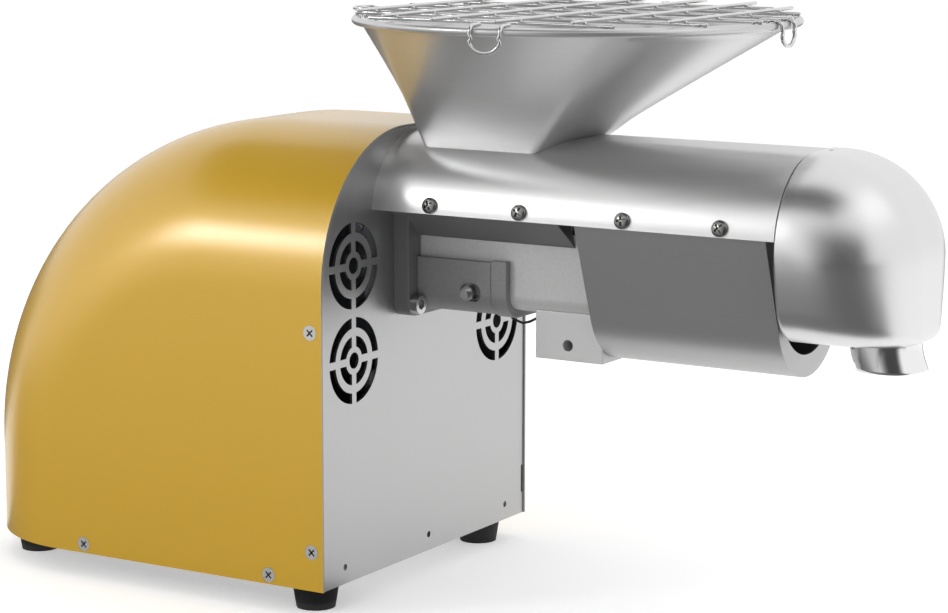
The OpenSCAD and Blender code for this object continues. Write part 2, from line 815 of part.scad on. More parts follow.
module motor_shaft() {
    pinion_from = idler_gear_x - 1;
    pinion_to = idler_gear_x + idler_face + 2;
    color(steel) {
        along_x(-pinion_to, pinion_to - pinion_from) translate([0, motor_z])
            gear_outline(motor_teeth, in_module, 1, 1.2);
        rod_x(motor_shaft_r - 1.5, -motor_x - cut, -pinion_from, motor_z);
        rod_x(motor_shaft_r, -motor_end - bell_t - fan_len - 6, -motor_x, motor_z);
    }
}

module rotor_core() {
    color(dark_cast) difference() {
        rod_x(rotor_r, -core_x - core_len, -core_x, motor_z);
        rod_x(motor_shaft_r, -core_x - core_len - cut, -core_x + cut, motor_z);
    }
}

module stator_core() {
    color(dark_cast) difference() {
        rod_x(motor_r - motor_wall, -core_x - core_len, -core_x, motor_z);
        rod_x(rotor_r + air_gap, -core_x - core_len - cut, -core_x + cut, motor_z);
    }
}

module stator_coils() {
    color([0.6, 0.32, 0.14]) for (x = [-core_x, -core_x - core_len - coil_h]) difference() {
        rod_x(motor_r - motor_wall - 3, x, x + coil_h, motor_z);
        rod_x(rotor_r + 3, x - cut, x + coil_h + cut, motor_z);
    }
}

module motor_can() {
    plate = 2*motor_bolt + 4*case_bolt_r + 6;
    bearing_to = motor_x + motor_plate_t + bearing_w - 2;
    color(dark_cast) difference() {
        union() {
            along_x(-motor_x - motor_plate_t, motor_plate_t) translate([-plate/2, motor_z - plate/2]) square(plate);
            rod_x(motor_r, -motor_end, -motor_x - motor_plate_t + eps, motor_z);
        }
        difference() {
            rod_x(motor_r - motor_wall, -motor_end - cut, -motor_x - motor_plate_t, motor_z);
            rod_x(motor_bearing_r + 4, -bearing_to, -motor_x, motor_z);
        }
        rod_x(motor_bearing_r, -bearing_to - cut, -motor_x - 2, motor_z);
        rod_x(motor_shaft_r + 1, -motor_x - motor_plate_t, -motor_x + cut, motor_z);
        along_x(-motor_x - motor_plate_t - cut, motor_plate_t + 2*cut) at_motor_bolts()
            circle(case_bolt_r + screw_gap);
    }
}

module motor_end_bell() {
    color(dark_cast) difference() {
        union() {
            rod_x(motor_r, -motor_end - bell_t, -motor_end, motor_z);
        }
        rod_x(motor_bearing_r, -motor_end - 2, -motor_end + cut, motor_z);
        rod_x(motor_bearing_r, -motor_end - 2 - eps, -motor_end, motor_z);
        rod_x(motor_shaft_r + 1, -motor_end - bell_t - cut, -motor_end, motor_z);
        for (a = [0:45:315]) rod_x(5, -motor_end - bell_t - cut, -motor_end + cut,
            motor_z + 30*sin(a), 30*cos(a));
    }
}

module motor_bolts() {
    color(steel) translate([-motor_x - motor_plate_t, 0, 0]) for (sy = [-1, 1], sz = [-1, 1])
        translate([0, sy*motor_bolt, motor_z + sz*motor_bolt]) rotate([0, -90, 0])
            socket_bolt(motor_plate_t + case_back_t, case_bolt_r, 1.8*case_bolt_r, bolt_cap_h);
}

module motor_saddle() {
    color(dark_cast) difference() {
        translate([-core_x - core_len*0.8, -motor_r*0.6, base_top])
            cube([core_len*0.6, motor_r*1.2, motor_z - motor_r*0.75 - base_top]);
        rod_x(motor_r + seat_gap, -motor_end, -motor_x, motor_z);
    }
}

module cooling_fan() {
    x0 = -motor_end - bell_t - fan_len - 4;
    color(black) difference() {
        union() {
            rod_x(motor_shaft_r + 6, x0, x0 + fan_len, motor_z);
            rod_x(fan_r - 2, x0, x0 + 2, motor_z);
            for (i = [0:fan_blades - 1]) translate([x0, 0, motor_z]) rotate([i*360/fan_blades, 0, 0])
                translate([0, motor_shaft_r + 4, -1]) cube([fan_len, fan_r - motor_shaft_r - 4, 2]);
        }
        rod_x(motor_shaft_r, x0 - cut, x0 + fan_len + cut, motor_z);
    }
}

// Press arm

// Arm cover's section, drawn in by inset and cut off at its lower edges
module cover_section(inset, low) {
    skirt = 20;
    difference() {
        translate([0, cover_low - skirt]) arch(cover_w/2 - inset, cover_top - cover_low + skirt - inset, cover_r - inset);
        translate([-cover_w, 0]) square([2*cover_w, low]);
    }
}

module flange_outline() {
    r = flange_corner_r;
    translate([-flange_w/2, flange_low + r]) square([flange_w, flange_top - flange_low - r]);
    translate([r - flange_w/2, flange_low]) square([flange_w - 2*r, r]);
    for (s = [-1, 1]) translate([s*(flange_w/2 - r), flange_low + r]) circle(r);
}

// Sloping roof over the neck, cut back at its outer edge
module roof() {
    low = neck_top_edge;
    out = arm_low - low;
    end = flange_t + roof_len;
    difference() {
        along_x(0, end) for (s = [0, 1]) mirror([s, 0])
            polygon([[neck_w/2, low], [neck_w/2 + out, arm_low + eps], [neck_w/2, arm_low + eps]]);
        rotate([90, 0, 0]) linear_extrude(cover_w, center = true)
            polygon([[end, low], [end - roof_cut, arm_low + cut], [end + cut, arm_low + cut], [end + cut, low]]);
    }
}

module arm_frame() {
    fit = cover_wall + sheet_gap/2;
    tip_fit = cap_wall + sheet_gap;
    color(dark_cast) difference() {
        union() {
            along_x(0, flange_t) flange_outline();
            along_x(0, cover_len) intersection() {
                cover_section(fit, arm_low);
                union() {
                    translate([-cover_w/2, arm_low]) square([cover_w, tray_t]);
                    for (s = [-1, 1]) translate([s*(cover_w/2 - fit - tray_side_t/2) - tray_side_t/2, arm_low])
                        square([tray_side_t, tray_side_h]);
                }
            }
            along_x(cover_len - eps, tongue_len) intersection() {
                cover_section(fit + tip_fit, arm_low);
                translate([-cover_w/2, arm_low]) square([cover_w, tray_t]);
            }
            roof();
            feed_box(collar_t + hopper_gap, arm_low, throat_z - hopper_gap);
        }
        feed_box(hopper_gap, arm_low - cut, throat_z + cut);
        rod_x(shaft_r + 2, -cut, flange_t + cut, axis_z);
        along_x(-cut, flange_t + 2*cut) for (p = flange_bolts_at, s = [-1, 1])
            translate([s*p[0], p[1]]) circle(bolt_r + screw_gap);
        at_cover_screws() translate([0, 0, -cover_wall - tray_side_t - 2])
            cylinder(h = tray_side_t + 4, r = screw_r + screw_gap);
    }
}

// Block round the hopper's outlet, grown by gap
module feed_box(gap, z0, z1) {
    l = throat_ol + 2*gap;
    w = throat_ow + 2*gap;
    translate([throat_x - l/2, -w/2, z0]) cube([l, w, z1 - z0]);
}

module at_flange_bolts() {
    for (p = flange_bolts_at, s = [-1, 1]) translate([flange_t, s*p[0], p[1]]) rotate([0, 90, 0]) children();
}

module flange_bolts() {
    color(steel) at_flange_bolts() socket_bolt(flange_t + panel_t + lid_t - 0.5, bolt_r, bolt_head_r, bolt_head_h);
}

// Barrel holder's section: flat sides and rounded lower edges
module neck_section(grow, top) {
    w = neck_w/2 + grow;
    r = neck_edge_r + grow;
    translate([0, neck_low - grow]) {
        translate([-w, r]) square([2*w, top - neck_low + grow - r]);
        translate([-(w - r), 0]) square([2*(w - r), r]);
        for (s = [-1, 1]) translate([s*(w - r), r]) circle(r);
    }
}

module barrel_holder() {
    color(cast) difference() {
        union() {
            along_x(flange_t, neck_rise) neck_section(0, arm_low);
            along_x(flange_t + neck_rise - eps, neck_len - neck_rise) neck_section(0, axis_z + barrel_r + 2.5);
        }
        rod_x(seal_r, flange_t - cut, flange_t + seal_w + 1.5, axis_z);
        rod_x(shaft_r + 1, flange_t, barrel_x + cut, axis_z);
        rod_x(barrel_r + seat_gap, barrel_x, flange_t + neck_len + cut, axis_z);
        feed_box(hopper_gap, axis_z + barrel_r - 4, arm_low + cut);
        rod_y(pin_r + run_gap, -neck_w, -barrel_r*0.6, pin_x, pin_z);
    }
}

module shaft_seal() {
    color(black) difference() {
        rod_x(seal_r - seat_gap/2, flange_t, flange_t + seal_w, axis_z);
        rod_x(shaft_r + run_gap, flange_t - cut, flange_t + seal_w + cut, axis_z);
    }
}

module press_barrel() {
    slot_from = flange_t + neck_len + 8;
    slot_pitch = (barrel_x + barrel_len - nut_overlap - 8 - slot_from)/oil_slots;
    color(steel) difference() {
        rod_x(barrel_r, barrel_x, barrel_x + barrel_len, axis_z);
        rod_x(bore_r, barrel_x - cut, barrel_x + barrel_len + cut, axis_z);
        translate([throat_x - throat_l/2 + 1, -throat_w/2 + 1, axis_z]) cube([throat_l - 2, throat_w - 2, 2*barrel_r]);
        for (i = [0:oil_slots - 1]) translate([slot_from + i*slot_pitch, -barrel_r*0.55, axis_z - 2*barrel_r])
            cube([1, barrel_r*1.1, 2*barrel_r]);
        rod_y(pin_r + seat_gap, -2*barrel_r, -5, pin_x, pin_z);
    }
}

// Helical flight from x0 to x1 as one closed strip
module flight(x0, x1, root_r, tip_r, root_w, tip_w) {
    per_turn = 20;
    rings = ceil((x1 - x0)/flight_pitch*per_turn);
    pts = [for (i = [0:rings]) let (a = i*360/per_turn, x = x0 + (x1 - x0)*i/rings)
        each [for (q = [[root_r, -root_w/2], [root_r, root_w/2], [tip_r, tip_w/2], [tip_r, -tip_w/2]])
            [x + q[1], q[0]*sin(a), q[0]*cos(a)]]];
    sides = [for (i = [0:rings - 1], k = [0:3]) let (a = 4*i + k, b = 4*i + (k + 1)%4)
        each [[a, b, a + 4], [b, b + 4, a + 4]]];
    last = 4*rings;
    polyhedron(pts, concat(sides, [[3, 2, 1], [3, 1, 0], [last, last + 1, last + 2], [last, last + 2, last + 3]]));
}

module press_screw() {
    tail = flange_t + 10.5;
    tip = barrel_x + barrel_len + 10;
    color(steel) {
        translate([tail - 15, 0, axis_z]) rotate([0, 90, 0]) cylinder(h = 15 + eps, r = hex_r(11), $fn = 6);
        rod_x(core_r, tail, tip, axis_z);
        translate([0, 0, axis_z]) flight(barrel_x + 6, barrel_x + barrel_len - 6, core_r - 1, bore_r - flight_gap, 6, 3.5);
    }
}

module barrel_nut() {
    x0 = barrel_x + barrel_len - nut_overlap;
    color(steel) difference() {
        translate([x0, 0, axis_z]) rotate([0, 90, 0]) cylinder(h = nut_len, r = nut_r, $fn = 6);
        rod_x(barrel_r + seat_gap, x0 - cut, x0 + nut_overlap + seat_gap, axis_z);
        rod_x(core_r + 1.5, x0, x0 + nut_len + cut, axis_z);
    }
}

module heater_jacket() {
    x0 = flange_t + seat_gap;
    color(cast) difference() {
        along_x(x0, jacket_len) neck_section(jacket_t, jacket_top);
        along_x(x0 - cut, jacket_len + 2*cut) neck_section(seat_gap, jacket_top + cut);
        for (s = [-0.5, 0.5]) rod_y(pin_r + 1, -neck_w, 0, pin_x + s*3, pin_z);
    }
}

module jacket_band() {
    x0 = flange_t + seat_gap + jacket_len + band_groove;
    color(cast) difference() {
        along_x(x0, band_w) neck_section(jacket_t + 0.8, jacket_top + 1);
        along_x(x0 - cut, band_w + 2*cut) neck_section(seat_gap, jacket_top + 1 + cut);
    }
}

module lock_pin() {
    face = neck_w/2 + jacket_t;
    color(steel) {
        rod_y(pin_r, -face - pin_out + 3, -barrel_r*0.72, pin_x, pin_z);
        rod_y(pin_r*0.62, -face - pin_out, -face - pin_out + 3 + eps, pin_x, pin_z);
    }
}

// Route of the thin sensor lead from the band to the block, in (x, y, z)
lead_r = 0.7;
lead_from = flange_t + jacket_len + band_w/2;
lead_top = neck_low - jacket_t - 0.8 - lead_r;
lead_y = -12;
lead = [[lead_from, lead_y, lead_top], [lead_from + 3, lead_y, lead_top - 1.3], [lead_from + 6.8, lead_y, lead_top - 2.4],
    [lead_from + 11, lead_y, lead_top - 1.3], [lead_from + 14.6, lead_y, lead_top + 0.6],
    [block_x - sheet_gap, lead_y, lead_top + 2.8]];

// Round tube along points that lie in one plane of constant y
module tube(points, r) {
    sides = 8;
    n = len(points);
    ring = [for (i = [0:n - 1]) let (d = points[min(i + 1, n - 1)] - points[max(i - 1, 0)], t = d/norm(d), u = [-t[2], 0, t[0]])
        each [for (k = [0:sides - 1]) points[i] + r*(u*cos(k*360/sides) + [0, 1, 0]*sin(k*360/sides))]];
    faces = [for (i = [0:n - 2], k = [0:sides - 1]) let (a = i*sides + k, b = i*sides + (k + 1)%sides)
        each [[a, a + sides, b], [b, a + sides, b + sides]]];
    first = [for (k = [1:sides - 2]) [0, k, k + 1]];
    last = [for (k = [1:sides - 2]) [(n - 1)*sides, (n - 1)*sides + k + 1, (n - 1)*sides + k]];
    polyhedron(ring, concat(faces, first, last));
}

module sensor_lead() { color(black) tube(lead, lead_r); }

module support_block() {
    color(steel) difference() {
        translate([block_x, -block_side/2, block_low]) cube([block_side, block_side, axis_z - block_low]);
        along_x(block_x - cut, block_side + 2*cut) neck_section(seat_gap, axis_z + cut);
        rod_y(block_hole_r, -block_side, block_side, block_x + block_side*0.48, block_low + 8);
    }
}

// Oil guard's section: round bottom and leaning walls up to the arm frame
module guard_section(inset) {
    r = guard_r - inset;
    foot = [r*cos(guard_angle), -r*sin(guard_angle)];
    rise = arm_low - guard_z - foot[1];
    top = foot[0] + rise*tan(guard_angle);
    translate([0, guard_z]) {
        circle(r);
        polygon([[-foot[0], foot[1]], [foot[0], foot[1]], [top, foot[1] + rise], [-top, foot[1] + rise]]);
    }
}

module oil_guard() {
    color(satin) difference() {
        along_x(guard_x, guard_len) difference() {
            guard_section(0);
            guard_section(guard_t);
            translate([-guard_r, arm_low - cut]) square([2*guard_r, cut + eps]);
        }
        translate([guard_x + 28, 0, guard_z - guard_r - cut]) cylinder(h = guard_t + 2*cut, r = drain_r);
    }
}

module oil_guard_plate() {
    color(satin) along_x(guard_x + guard_len, plate_t) difference() {
        guard_section(0);
        translate([0, axis_z]) circle(guard_hole_r);
    }
}

// Hopper's outer form, grown by gap: round rim to square foot, then in to the outlet
module hopper_form(gap, wall) {
    rim_in = funnel_r - wall + gap;
    l = foot_sq_x - 2*wall + 2*gap;
    w = foot_sq_y - 2*wall + 2*gap;
    tl = throat_l + 2*hopper_t - 2*wall + 2*gap;
    tw = throat_w + 2*hopper_t - 2*wall + 2*gap;
    hull() {
        translate([rim_x, 0, rim_z]) cylinder(h = eps, r = rim_in, $fn = hull_fn);
        translate([throat_x - l/2, -w/2, foot_sq_z]) cube([l, w, eps]);
    }
    hull() {
        translate([throat_x - l/2, -w/2, foot_sq_z]) cube([l, w, eps]);
        translate([throat_x - tl/2, -tw/2, throat_z]) cube([tl, tw, eps]);
    }
}

module hopper() {
    color(steel) {
        difference() {
            union() {
                hopper_form(0, 0);
                feed_box(0, throat_low, throat_z + eps);
                translate([rim_x, 0, rim_z - hopper_t - 0.1]) cylinder(h = hopper_t, r = bead_c);
            }
            hopper_form(0, hopper_t);
            translate([rim_x, 0, rim_z - 0.1 - eps]) cylinder(h = 5, r = funnel_r - hopper_t);
            feed_box(-hopper_t, throat_low - cut, throat_z + 0.5);
        }
        translate([rim_x, 0, rim_z]) rotate_extrude() translate([bead_c, 0]) circle(bead_r);
    }
}

module at_cover_screws() {
    side = cover_w/2 - cover_r + sqrt(pow(cover_r, 2) - pow(cover_screw_z - cover_top + cover_r, 2));
    tilt = asin((cover_screw_z - cover_top + cover_r)/cover_r);
    both_sides() for (x = cover_screw_x) translate([x, -side, cover_screw_z]) rotate([90 - tilt, 0, 0]) children();
}

module arm_cover() {
    color(satin) difference() {
        along_x(0, cover_len) difference() {
            cover_section(0, cover_low);
            cover_section(cover_wall, cover_low - cut);
        }
        hopper_form(hopper_gap, 0);
        at_cover_screws() translate([0, 0, -cover_wall - 2]) cylinder(h = cover_wall + 4, r = screw_r + screw_gap);
    }
}

module cover_screws() {
    color(steel) at_cover_screws() pan_screw(cover_wall + tray_side_t + 2);
}

// Cap

// Front view of the cap: sides lean in towards rounded lower edges
module cap_front(inset) {
    r = cap_edge_r - inset;
    shoulder = cap_top - cap_corner_r;
    low = cap_low + inset;
    w = cap_w/2 - cap_shave - inset/cos(cap_lean);
    cy = w - (shoulder - low - r)*tan(cap_lean) - r/cos(cap_lean);
    over = 2*cap_corner_r;
    for (s = [0, 1]) mirror([s, 0]) {
        polygon([[0, low], [cy, low], [cy + r*cos(cap_lean), low + r - r*sin(cap_lean)],
            [w + over*tan(cap_lean), shoulder + over], [0, shoulder + over]]);
        translate([cy, low + r]) circle(r);
    }
}

// Solid form of the cap, drawn in by inset and lengthened to the rear for cutting
module cap_form(inset, back) {
    w = cap_w/2 - inset;
    r = cap_corner_r - inset;
    out = cap_r - inset;
    centre_z = cap_top - cap_r;
    low = cap_low - cap_edge_r;
    intersection() {
        union() {
            along_x(cap_x - back, cap_back + back) translate([0, low]) arch(w, cap_top - inset - low, r);
            translate([cap_x + cap_back, 0, centre_z]) rotate([90, 0, 0]) rotate_extrude(angle = 90) round_end(out, w, r);
            translate([cap_x + cap_back, 0, low]) linear_extrude(centre_z - low) round_end(out, w, r);
        }
        along_x(cap_x - back - cut, cap_len + back + 2*cut) cap_front(inset);
    }
}

module end_cap() {
    color(satin) difference() {
        cap_form(0, 0);
        cap_form(cap_wall, cut);
        translate([spout_x, 0, cap_low - cut]) cylinder(h = cap_wall + 2*cut, r = spout_end_r - spout_wall);
    }
}

module spout() {
    color(steel) translate([spout_x, 0, cap_low - spout_len]) difference() {
        cylinder(h = spout_len, r1 = spout_end_r, r2 = spout_r);
        translate([0, 0, -eps]) cylinder(h = spout_len + 2*eps, r1 = spout_end_r - spout_wall, r2 = spout_r - spout_wall);
    }
}

// Wire guard

module guard_ring() {
    color(steel) translate([rim_x, 0, ring_z]) rotate_extrude() translate([ring_r, 0]) circle(wire_r, $fn = wire_fn);
}

function wire_offsets() = [for (i = [0:wire_count - 1]) (i - (wire_count - 1)/2)*wire_pitch];

module guard_wires() {
    over = 4;
    color(steel) translate([rim_x, 0, 0]) for (o = wire_offsets()) {
        half = sqrt(pow(ring_r, 2) - pow(o, 2)) + over;
        translate([-half, o, wire_z]) rotate([0, 90, 0]) cylinder(h = 2*half, r = wire_r, $fn = wire_fn);
        translate([o, -half, wire_z + 2*wire_r]) rotate([-90, 0, 0]) cylinder(h = 2*half, r = wire_r, $fn = wire_fn);
    }
}

// One clip: two legs over the rim, joined below by a round loop; drawn on +X
module clip() {
    inner = ring_r - 5;
    bend_x = clip_r - clip_bend;
    half = clip_w/2;
    for (s = [-1, 1]) {
        translate([inner, s*half, wire_z]) rotate([0, 90, 0]) cylinder(h = bend_x - inner, r = wire_r, $fn = wire_fn);
        translate([bend_x, s*half, wire_z - clip_bend]) rotate([90, 0, 0])
            rotate_extrude(angle = 90) translate([clip_bend, 0]) circle(wire_r, $fn = wire_fn);
        translate([clip_r, s*half, wire_z - clip_bend - clip_drop]) cylinder(h = clip_drop, r = wire_r, $fn = wire_fn);
    }
    translate([clip_r, 0, wire_z - clip_bend - clip_drop]) rotate([90, 0, 90]) rotate([0, 0, 180])
        rotate_extrude(angle = 180) translate([half, 0]) circle(wire_r, $fn = wire_fn);
}

// A clip that lies flat on the wires, over the rim; drawn on +X
module flat_clip() {
    half = clip_w/2;
    z = wire_z + 2*wire_r;
    inner = ring_r - 4;
    loop_x = rim_r - half - 0.5;
    for (s = [-1, 1]) translate([inner, s*half, z]) rotate([0, 90, 0])
        cylinder(h = loop_x - inner, r = wire_r, $fn = wire_fn);
    translate([loop_x, 0, z]) rotate([0, 0, -90])
        rotate_extrude(angle = 180) translate([half, 0]) circle(wire_r, $fn = wire_fn);
}

module guard_clips() {
    color(steel) translate([rim_x, 0, 0]) {
        for (a = clip_angles) rotate([0, 0, a]) clip();
        rotate([0, 0, flat_angle]) flat_clip();
    }
}

// Controls and wiring, on the far side of the housing

module at_switch(i) { translate([-switch_x - i*switch_pitch, shell_w/2, switch_z]) children(); }

module at_inlet() { translate([-inlet_x, shell_w/2, inlet_z]) children(); }

module switch_cutout() {
    l = switch_w - 2*switch_wall + 2*sheet_gap;
    h = switch_h - 2*switch_wall + 2*sheet_gap;
    translate([-l/2, -shell_wall - cut, -h/2]) cube([l, shell_wall + 2*cut, h]);
}

// Frame that clips into the shell; its rocker turns about X at y = -rocker_in
module switch_frame() {
    l = switch_w - 2*switch_wall;
    h = switch_h - 2*switch_wall;
    difference() {
        union() {
            translate([-switch_w/2, 0, -switch_h/2]) cube([switch_w, bezel_t, switch_h]);
            translate([-l/2, -switch_depth, -h/2]) cube([l, switch_depth + eps, h]);
        }
        translate([-l/2 + switch_wall - 0.5, -rocker_in - 8, -h/2 + 1.5]) cube([l - 2*switch_wall + 1, 30, h - 3]);
        translate([-l/2 + 0.4, -rocker_in, 0]) rotate([0, 90, 0]) cylinder(h = l - 0.8, r = rocker_pin_r + run_gap);
    }
}

module rocker(tilt) {
    l = switch_w - 4*switch_wall;
    h = (switch_h - 2*switch_wall - 3)/2 - 1.1;
    translate([0, -rocker_in, 0]) rotate([tilt, 0, 0]) {
        translate([-l/2, 0, 0]) rotate([90, 0, 90]) linear_extrude(l) polygon([[-5, -h + 1.5], [-5, h - 1.5],
            [rocker_in + 0.6, h], [rocker_in - 1.6, 0], [rocker_in + 0.6, -h]]);
        translate([-l/2 - 1.5, 0, 0]) rotate([0, 90, 0]) cylinder(h = l + 3, r = rocker_pin_r);
    }
}

module drive_switch_frame() { color(black) at_switch(0) switch_frame(); }
module heat_switch_frame() { color(black) at_switch(1) switch_frame(); }
module drive_rocker() { color("firebrick") at_switch(0) rocker(0); }
module heat_rocker() { color(black) at_switch(1) rocker(-rocker_tilt); }

inlet_l = 27;
inlet_h = 20;

module inlet_cutout() {
    translate([-inlet_l/2 - sheet_gap, -shell_wall - cut, -inlet_h/2 - sheet_gap])
        cube([inlet_l + 2*sheet_gap, shell_wall + 2*cut, inlet_h + 2*sheet_gap]);
}

module mains_inlet() {
    color(black) at_inlet() {
        difference() {
            union() {
                translate([-inlet_l/2 - 4, 0, -inlet_h/2 - 4]) cube([inlet_l + 8, 2.5, inlet_h + 8]);
                translate([-inlet_l/2, -20, -inlet_h/2]) cube([inlet_l, 20 + eps, inlet_h]);
            }
            translate([-inlet_l/2 + 2, -15, -inlet_h/2 + 2]) cube([inlet_l - 4, 30, inlet_h - 4]);
        }
        for (p = [[-7, -1.5], [0, 1.5], [7, -1.5]]) translate([p[0] - 1, -15 - eps, p[1] - 2]) cube([2, 13, 4]);
    }
}

board_rise = 7;
board_t = 1.6;
board_back = 40;
relay = [18, 16, 9];
cooler = [12, 20, 12];
filter_r = 5;
filter_h = 14;
board_x = -motor_x - board_back;
board_y = inner_w - board_w/2 - 8;

module at_board_corners() {
    for (sx = [-1, 1], sy = [-1, 1]) translate([board_x + sx*(board_l/2 - 4), board_y + sy*(board_w/2 - 4), 0]) children();
}

module control_board() {
    color([0.1, 0.35, 0.2]) translate([board_x, board_y, base_top + board_rise]) {
        translate([-board_l/2, -board_w/2, 0]) cube([board_l, board_w, board_t]);
        translate([-board_l/2 + 8, -relay[1]/2, board_t - eps]) cube(relay);
        translate([4, -cooler[1]/2, board_t - eps]) cube(cooler);
        translate([board_l/2 - 2.4*filter_r, 0, board_t - eps]) cylinder(h = filter_h, r = filter_r);
    }
}

can_len = 60;
can_back = 70;
can_inset = 14;
can_lift = 2;
can_tab = [8, 0.8, 6];
can_x = -motor_x - can_back;
can_y = -inner_w + cap_can_r + can_inset;
can_z = base_top + cap_can_r + can_lift;

module run_capacitor() {
    color(satin) {
        rod_x(cap_can_r, can_x, can_x + can_len, can_z, can_y);
        for (s = [-1, 1]) translate([can_x + can_len - eps, can_y + s*cap_can_r/3 - can_tab[1]/2, can_z - can_tab[2]/2])
            cube(can_tab);
    }
}

module capacitor_clip() {
    color(black) difference() {
        translate([can_x + can_len*0.3, can_y - cap_can_r - 2, base_top])
            cube([can_len*0.4, 2*cap_can_r + 4, cap_can_r]);
        rod_x(cap_can_r + seat_gap, can_x, can_x + can_len, can_z, can_y);
    }
}

place() base_plate();
place() shell();
place() front_panel();
place() shell_screws();
place() foot_front_near();
place() foot_front_far();
place() foot_rear_near();
place() foot_rear_far();
place() foot_screws();
place() gearbox_case();
place() gearbox_lid();
place() gearbox_bolts();
place() motor_can();
place() motor_end_bell();
place() motor_bolts();
place() motor_saddle();
place() motor_bearings();
place() stator_core();
place() stator_coils();
place() rotor_core();
place() motor_shaft();
place() cooling_fan();
place() idler_shaft();
place() idler_gear();
place() idler_bearings();
place() output_gear();
place() output_shaft();
place() output_bearings();
place() shaft_seal();
place() arm_frame();
place() flange_bolts();
place() barrel_holder();
place() press_barrel();
place() press_screw();
place() barrel_nut();
place() heater_jacket();
place() jacket_band();
place() lock_pin();
place() sensor_lead();
place() support_block();
place() oil_guard();
place() oil_guard_plate();
place() arm_cover();
place() cover_screws();
place() end_cap();
place() spout();
place() hopper();
place() guard_ring();
place() guard_wires();
place() guard_clips();
place() drive_switch_frame();
place() drive_rocker();
place() heat_switch_frame();
place() heat_rocker();
place() mains_inlet();
place() control_board();
place() run_capacitor();
place() capacitor_clip();
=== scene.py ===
import math

import bmesh
import bpy
import numpy as np
from mathutils import Matrix, Vector


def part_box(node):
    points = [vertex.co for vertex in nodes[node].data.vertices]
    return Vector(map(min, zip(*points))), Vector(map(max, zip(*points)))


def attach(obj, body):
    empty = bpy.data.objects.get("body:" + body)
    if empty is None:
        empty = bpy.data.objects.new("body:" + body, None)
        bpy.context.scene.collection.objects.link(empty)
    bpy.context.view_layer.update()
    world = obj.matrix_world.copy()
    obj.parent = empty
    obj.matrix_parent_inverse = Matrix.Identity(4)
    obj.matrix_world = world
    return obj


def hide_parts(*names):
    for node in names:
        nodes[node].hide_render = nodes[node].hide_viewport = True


# Screw oil press: gold housing, steel press arm, hopper with a wire guard.
# Lengths are in millimetres here and become metres when a mesh is made; the studio is in metres.
# +X runs forward along the arm, -Y is the side nearest the camera, Z is up.

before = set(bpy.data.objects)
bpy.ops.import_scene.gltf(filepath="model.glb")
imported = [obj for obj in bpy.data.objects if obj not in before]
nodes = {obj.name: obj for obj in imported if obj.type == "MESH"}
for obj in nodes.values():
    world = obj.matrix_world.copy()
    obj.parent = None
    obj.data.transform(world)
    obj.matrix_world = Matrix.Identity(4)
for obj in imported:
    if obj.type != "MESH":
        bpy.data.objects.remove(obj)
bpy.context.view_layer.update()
mm = 0.001
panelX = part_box("front_panel")[1][0] / mm  # outer face of the front panel, where x is 0 in the lists below
print("frame loaded:", len(nodes), "solids")


# materials

noiseSpan = (0.3, 0.7)  # nearly all values of a noise lie between these
bevelSamples = 6


def hexColor(text):
    # sRGB hex to linear RGBA
    srgb = np.array([int(text[i:i + 2], 16) / 255 for i in (1, 3, 5)])
    linear = np.where(srgb <= 0.04045, srgb / 12.92, ((srgb + 0.055) / 1.055) ** 2.4)
    return (*linear.tolist(), 1.0)


def addNode(tree, kind, inputs=None, **settings):
    # one node: settings are its properties, inputs are values or the sockets linked in
    item = tree.nodes.new(kind)
    for key, value in settings.items():
        setattr(item, key, value)
    for key, value in (inputs or {}).items():
        if isinstance(value, bpy.types.NodeSocket):
            tree.links.new(value, item.inputs[key])
        else:
            item.inputs[key].default_value = value
    return item


def newMaterial(name, color, metallic=0.0, roughness=0.5, **surface):
    # a Principled surface; further keys are its sockets, with underscores for spaces
    mat = bpy.data.materials.new(name)
    mat.use_nodes = True
    shader = mat.node_tree.nodes["Principled BSDF"]
    surface.update(Base_Color=hexColor(color), Metallic=metallic, Roughness=roughness)
    for key, value in surface.items():
        shader.inputs[key.replace("_", " ")].default_value = value
    return mat


def noisePattern(mat, grain, detail=2.0, source="Object"):
    # noise whose grains measure that many mm, the same every way or one number each for x, y and z
    tree = mat.node_tree
    where = addNode(tree, "ShaderNodeTexCoord").outputs[source]
    scale = (1 / (np.broadcast_to(grain, 3) * mm)).tolist()
    place = addNode(tree, "ShaderNodeMapping", {"Vector": where, "Scale": scale}).outputs["Vector"]
    noise = addNode(tree, "ShaderNodeTexNoise", {"Vector": place, "Scale": 1.0, "Detail": detail})
    return noise.outputs["Fac"]


def varyTone(mat, pattern, low, high):
    # base colour that runs from one tone to another over a pattern
    tree = mat.node_tree
    tones = {"Factor": pattern, 6: hexColor(low), 7: hexColor(high)}  # 6 and 7 are the two colours
    mix = addNode(tree, "ShaderNodeMix", tones, data_type="RGBA")
    tree.links.new(mix.outputs[2], tree.nodes["Principled BSDF"].inputs["Base Color"])


def varyGloss(mat, pattern, spread):
    # roughness that wanders by that much either way of the material's own, over a noise
    tree = mat.node_tree
    rough = tree.nodes["Principled BSDF"].inputs["Roughness"]
    low, high = rough.default_value - spread, rough.default_value + spread
    least, most = noiseSpan
    run = {"Value": pattern, "From Min": least, "From Max": most, "To Min": low, "To Max": high}
    tree.links.new(addNode(tree, "ShaderNodeMapRange", run).outputs["Result"], rough)


def raiseGrain(mat, pattern, height, edge=0.0):
    # a bump of that height in mm, over edges that catch the light as if rounded by that many mm
    tree = mat.node_tree
    bump = addNode(tree, "ShaderNodeBump", {"Height": pattern, "Strength": 1.0, "Distance": height * mm})
    if edge:
        rounded = addNode(tree, "ShaderNodeBevel", {"Radius": edge * mm}, samples=bevelSamples)
        tree.links.new(rounded.outputs["Normal"], bump.inputs["Normal"])
    tree.links.new(bump.outputs["Normal"], tree.nodes["Principled BSDF"].inputs["Normal"])


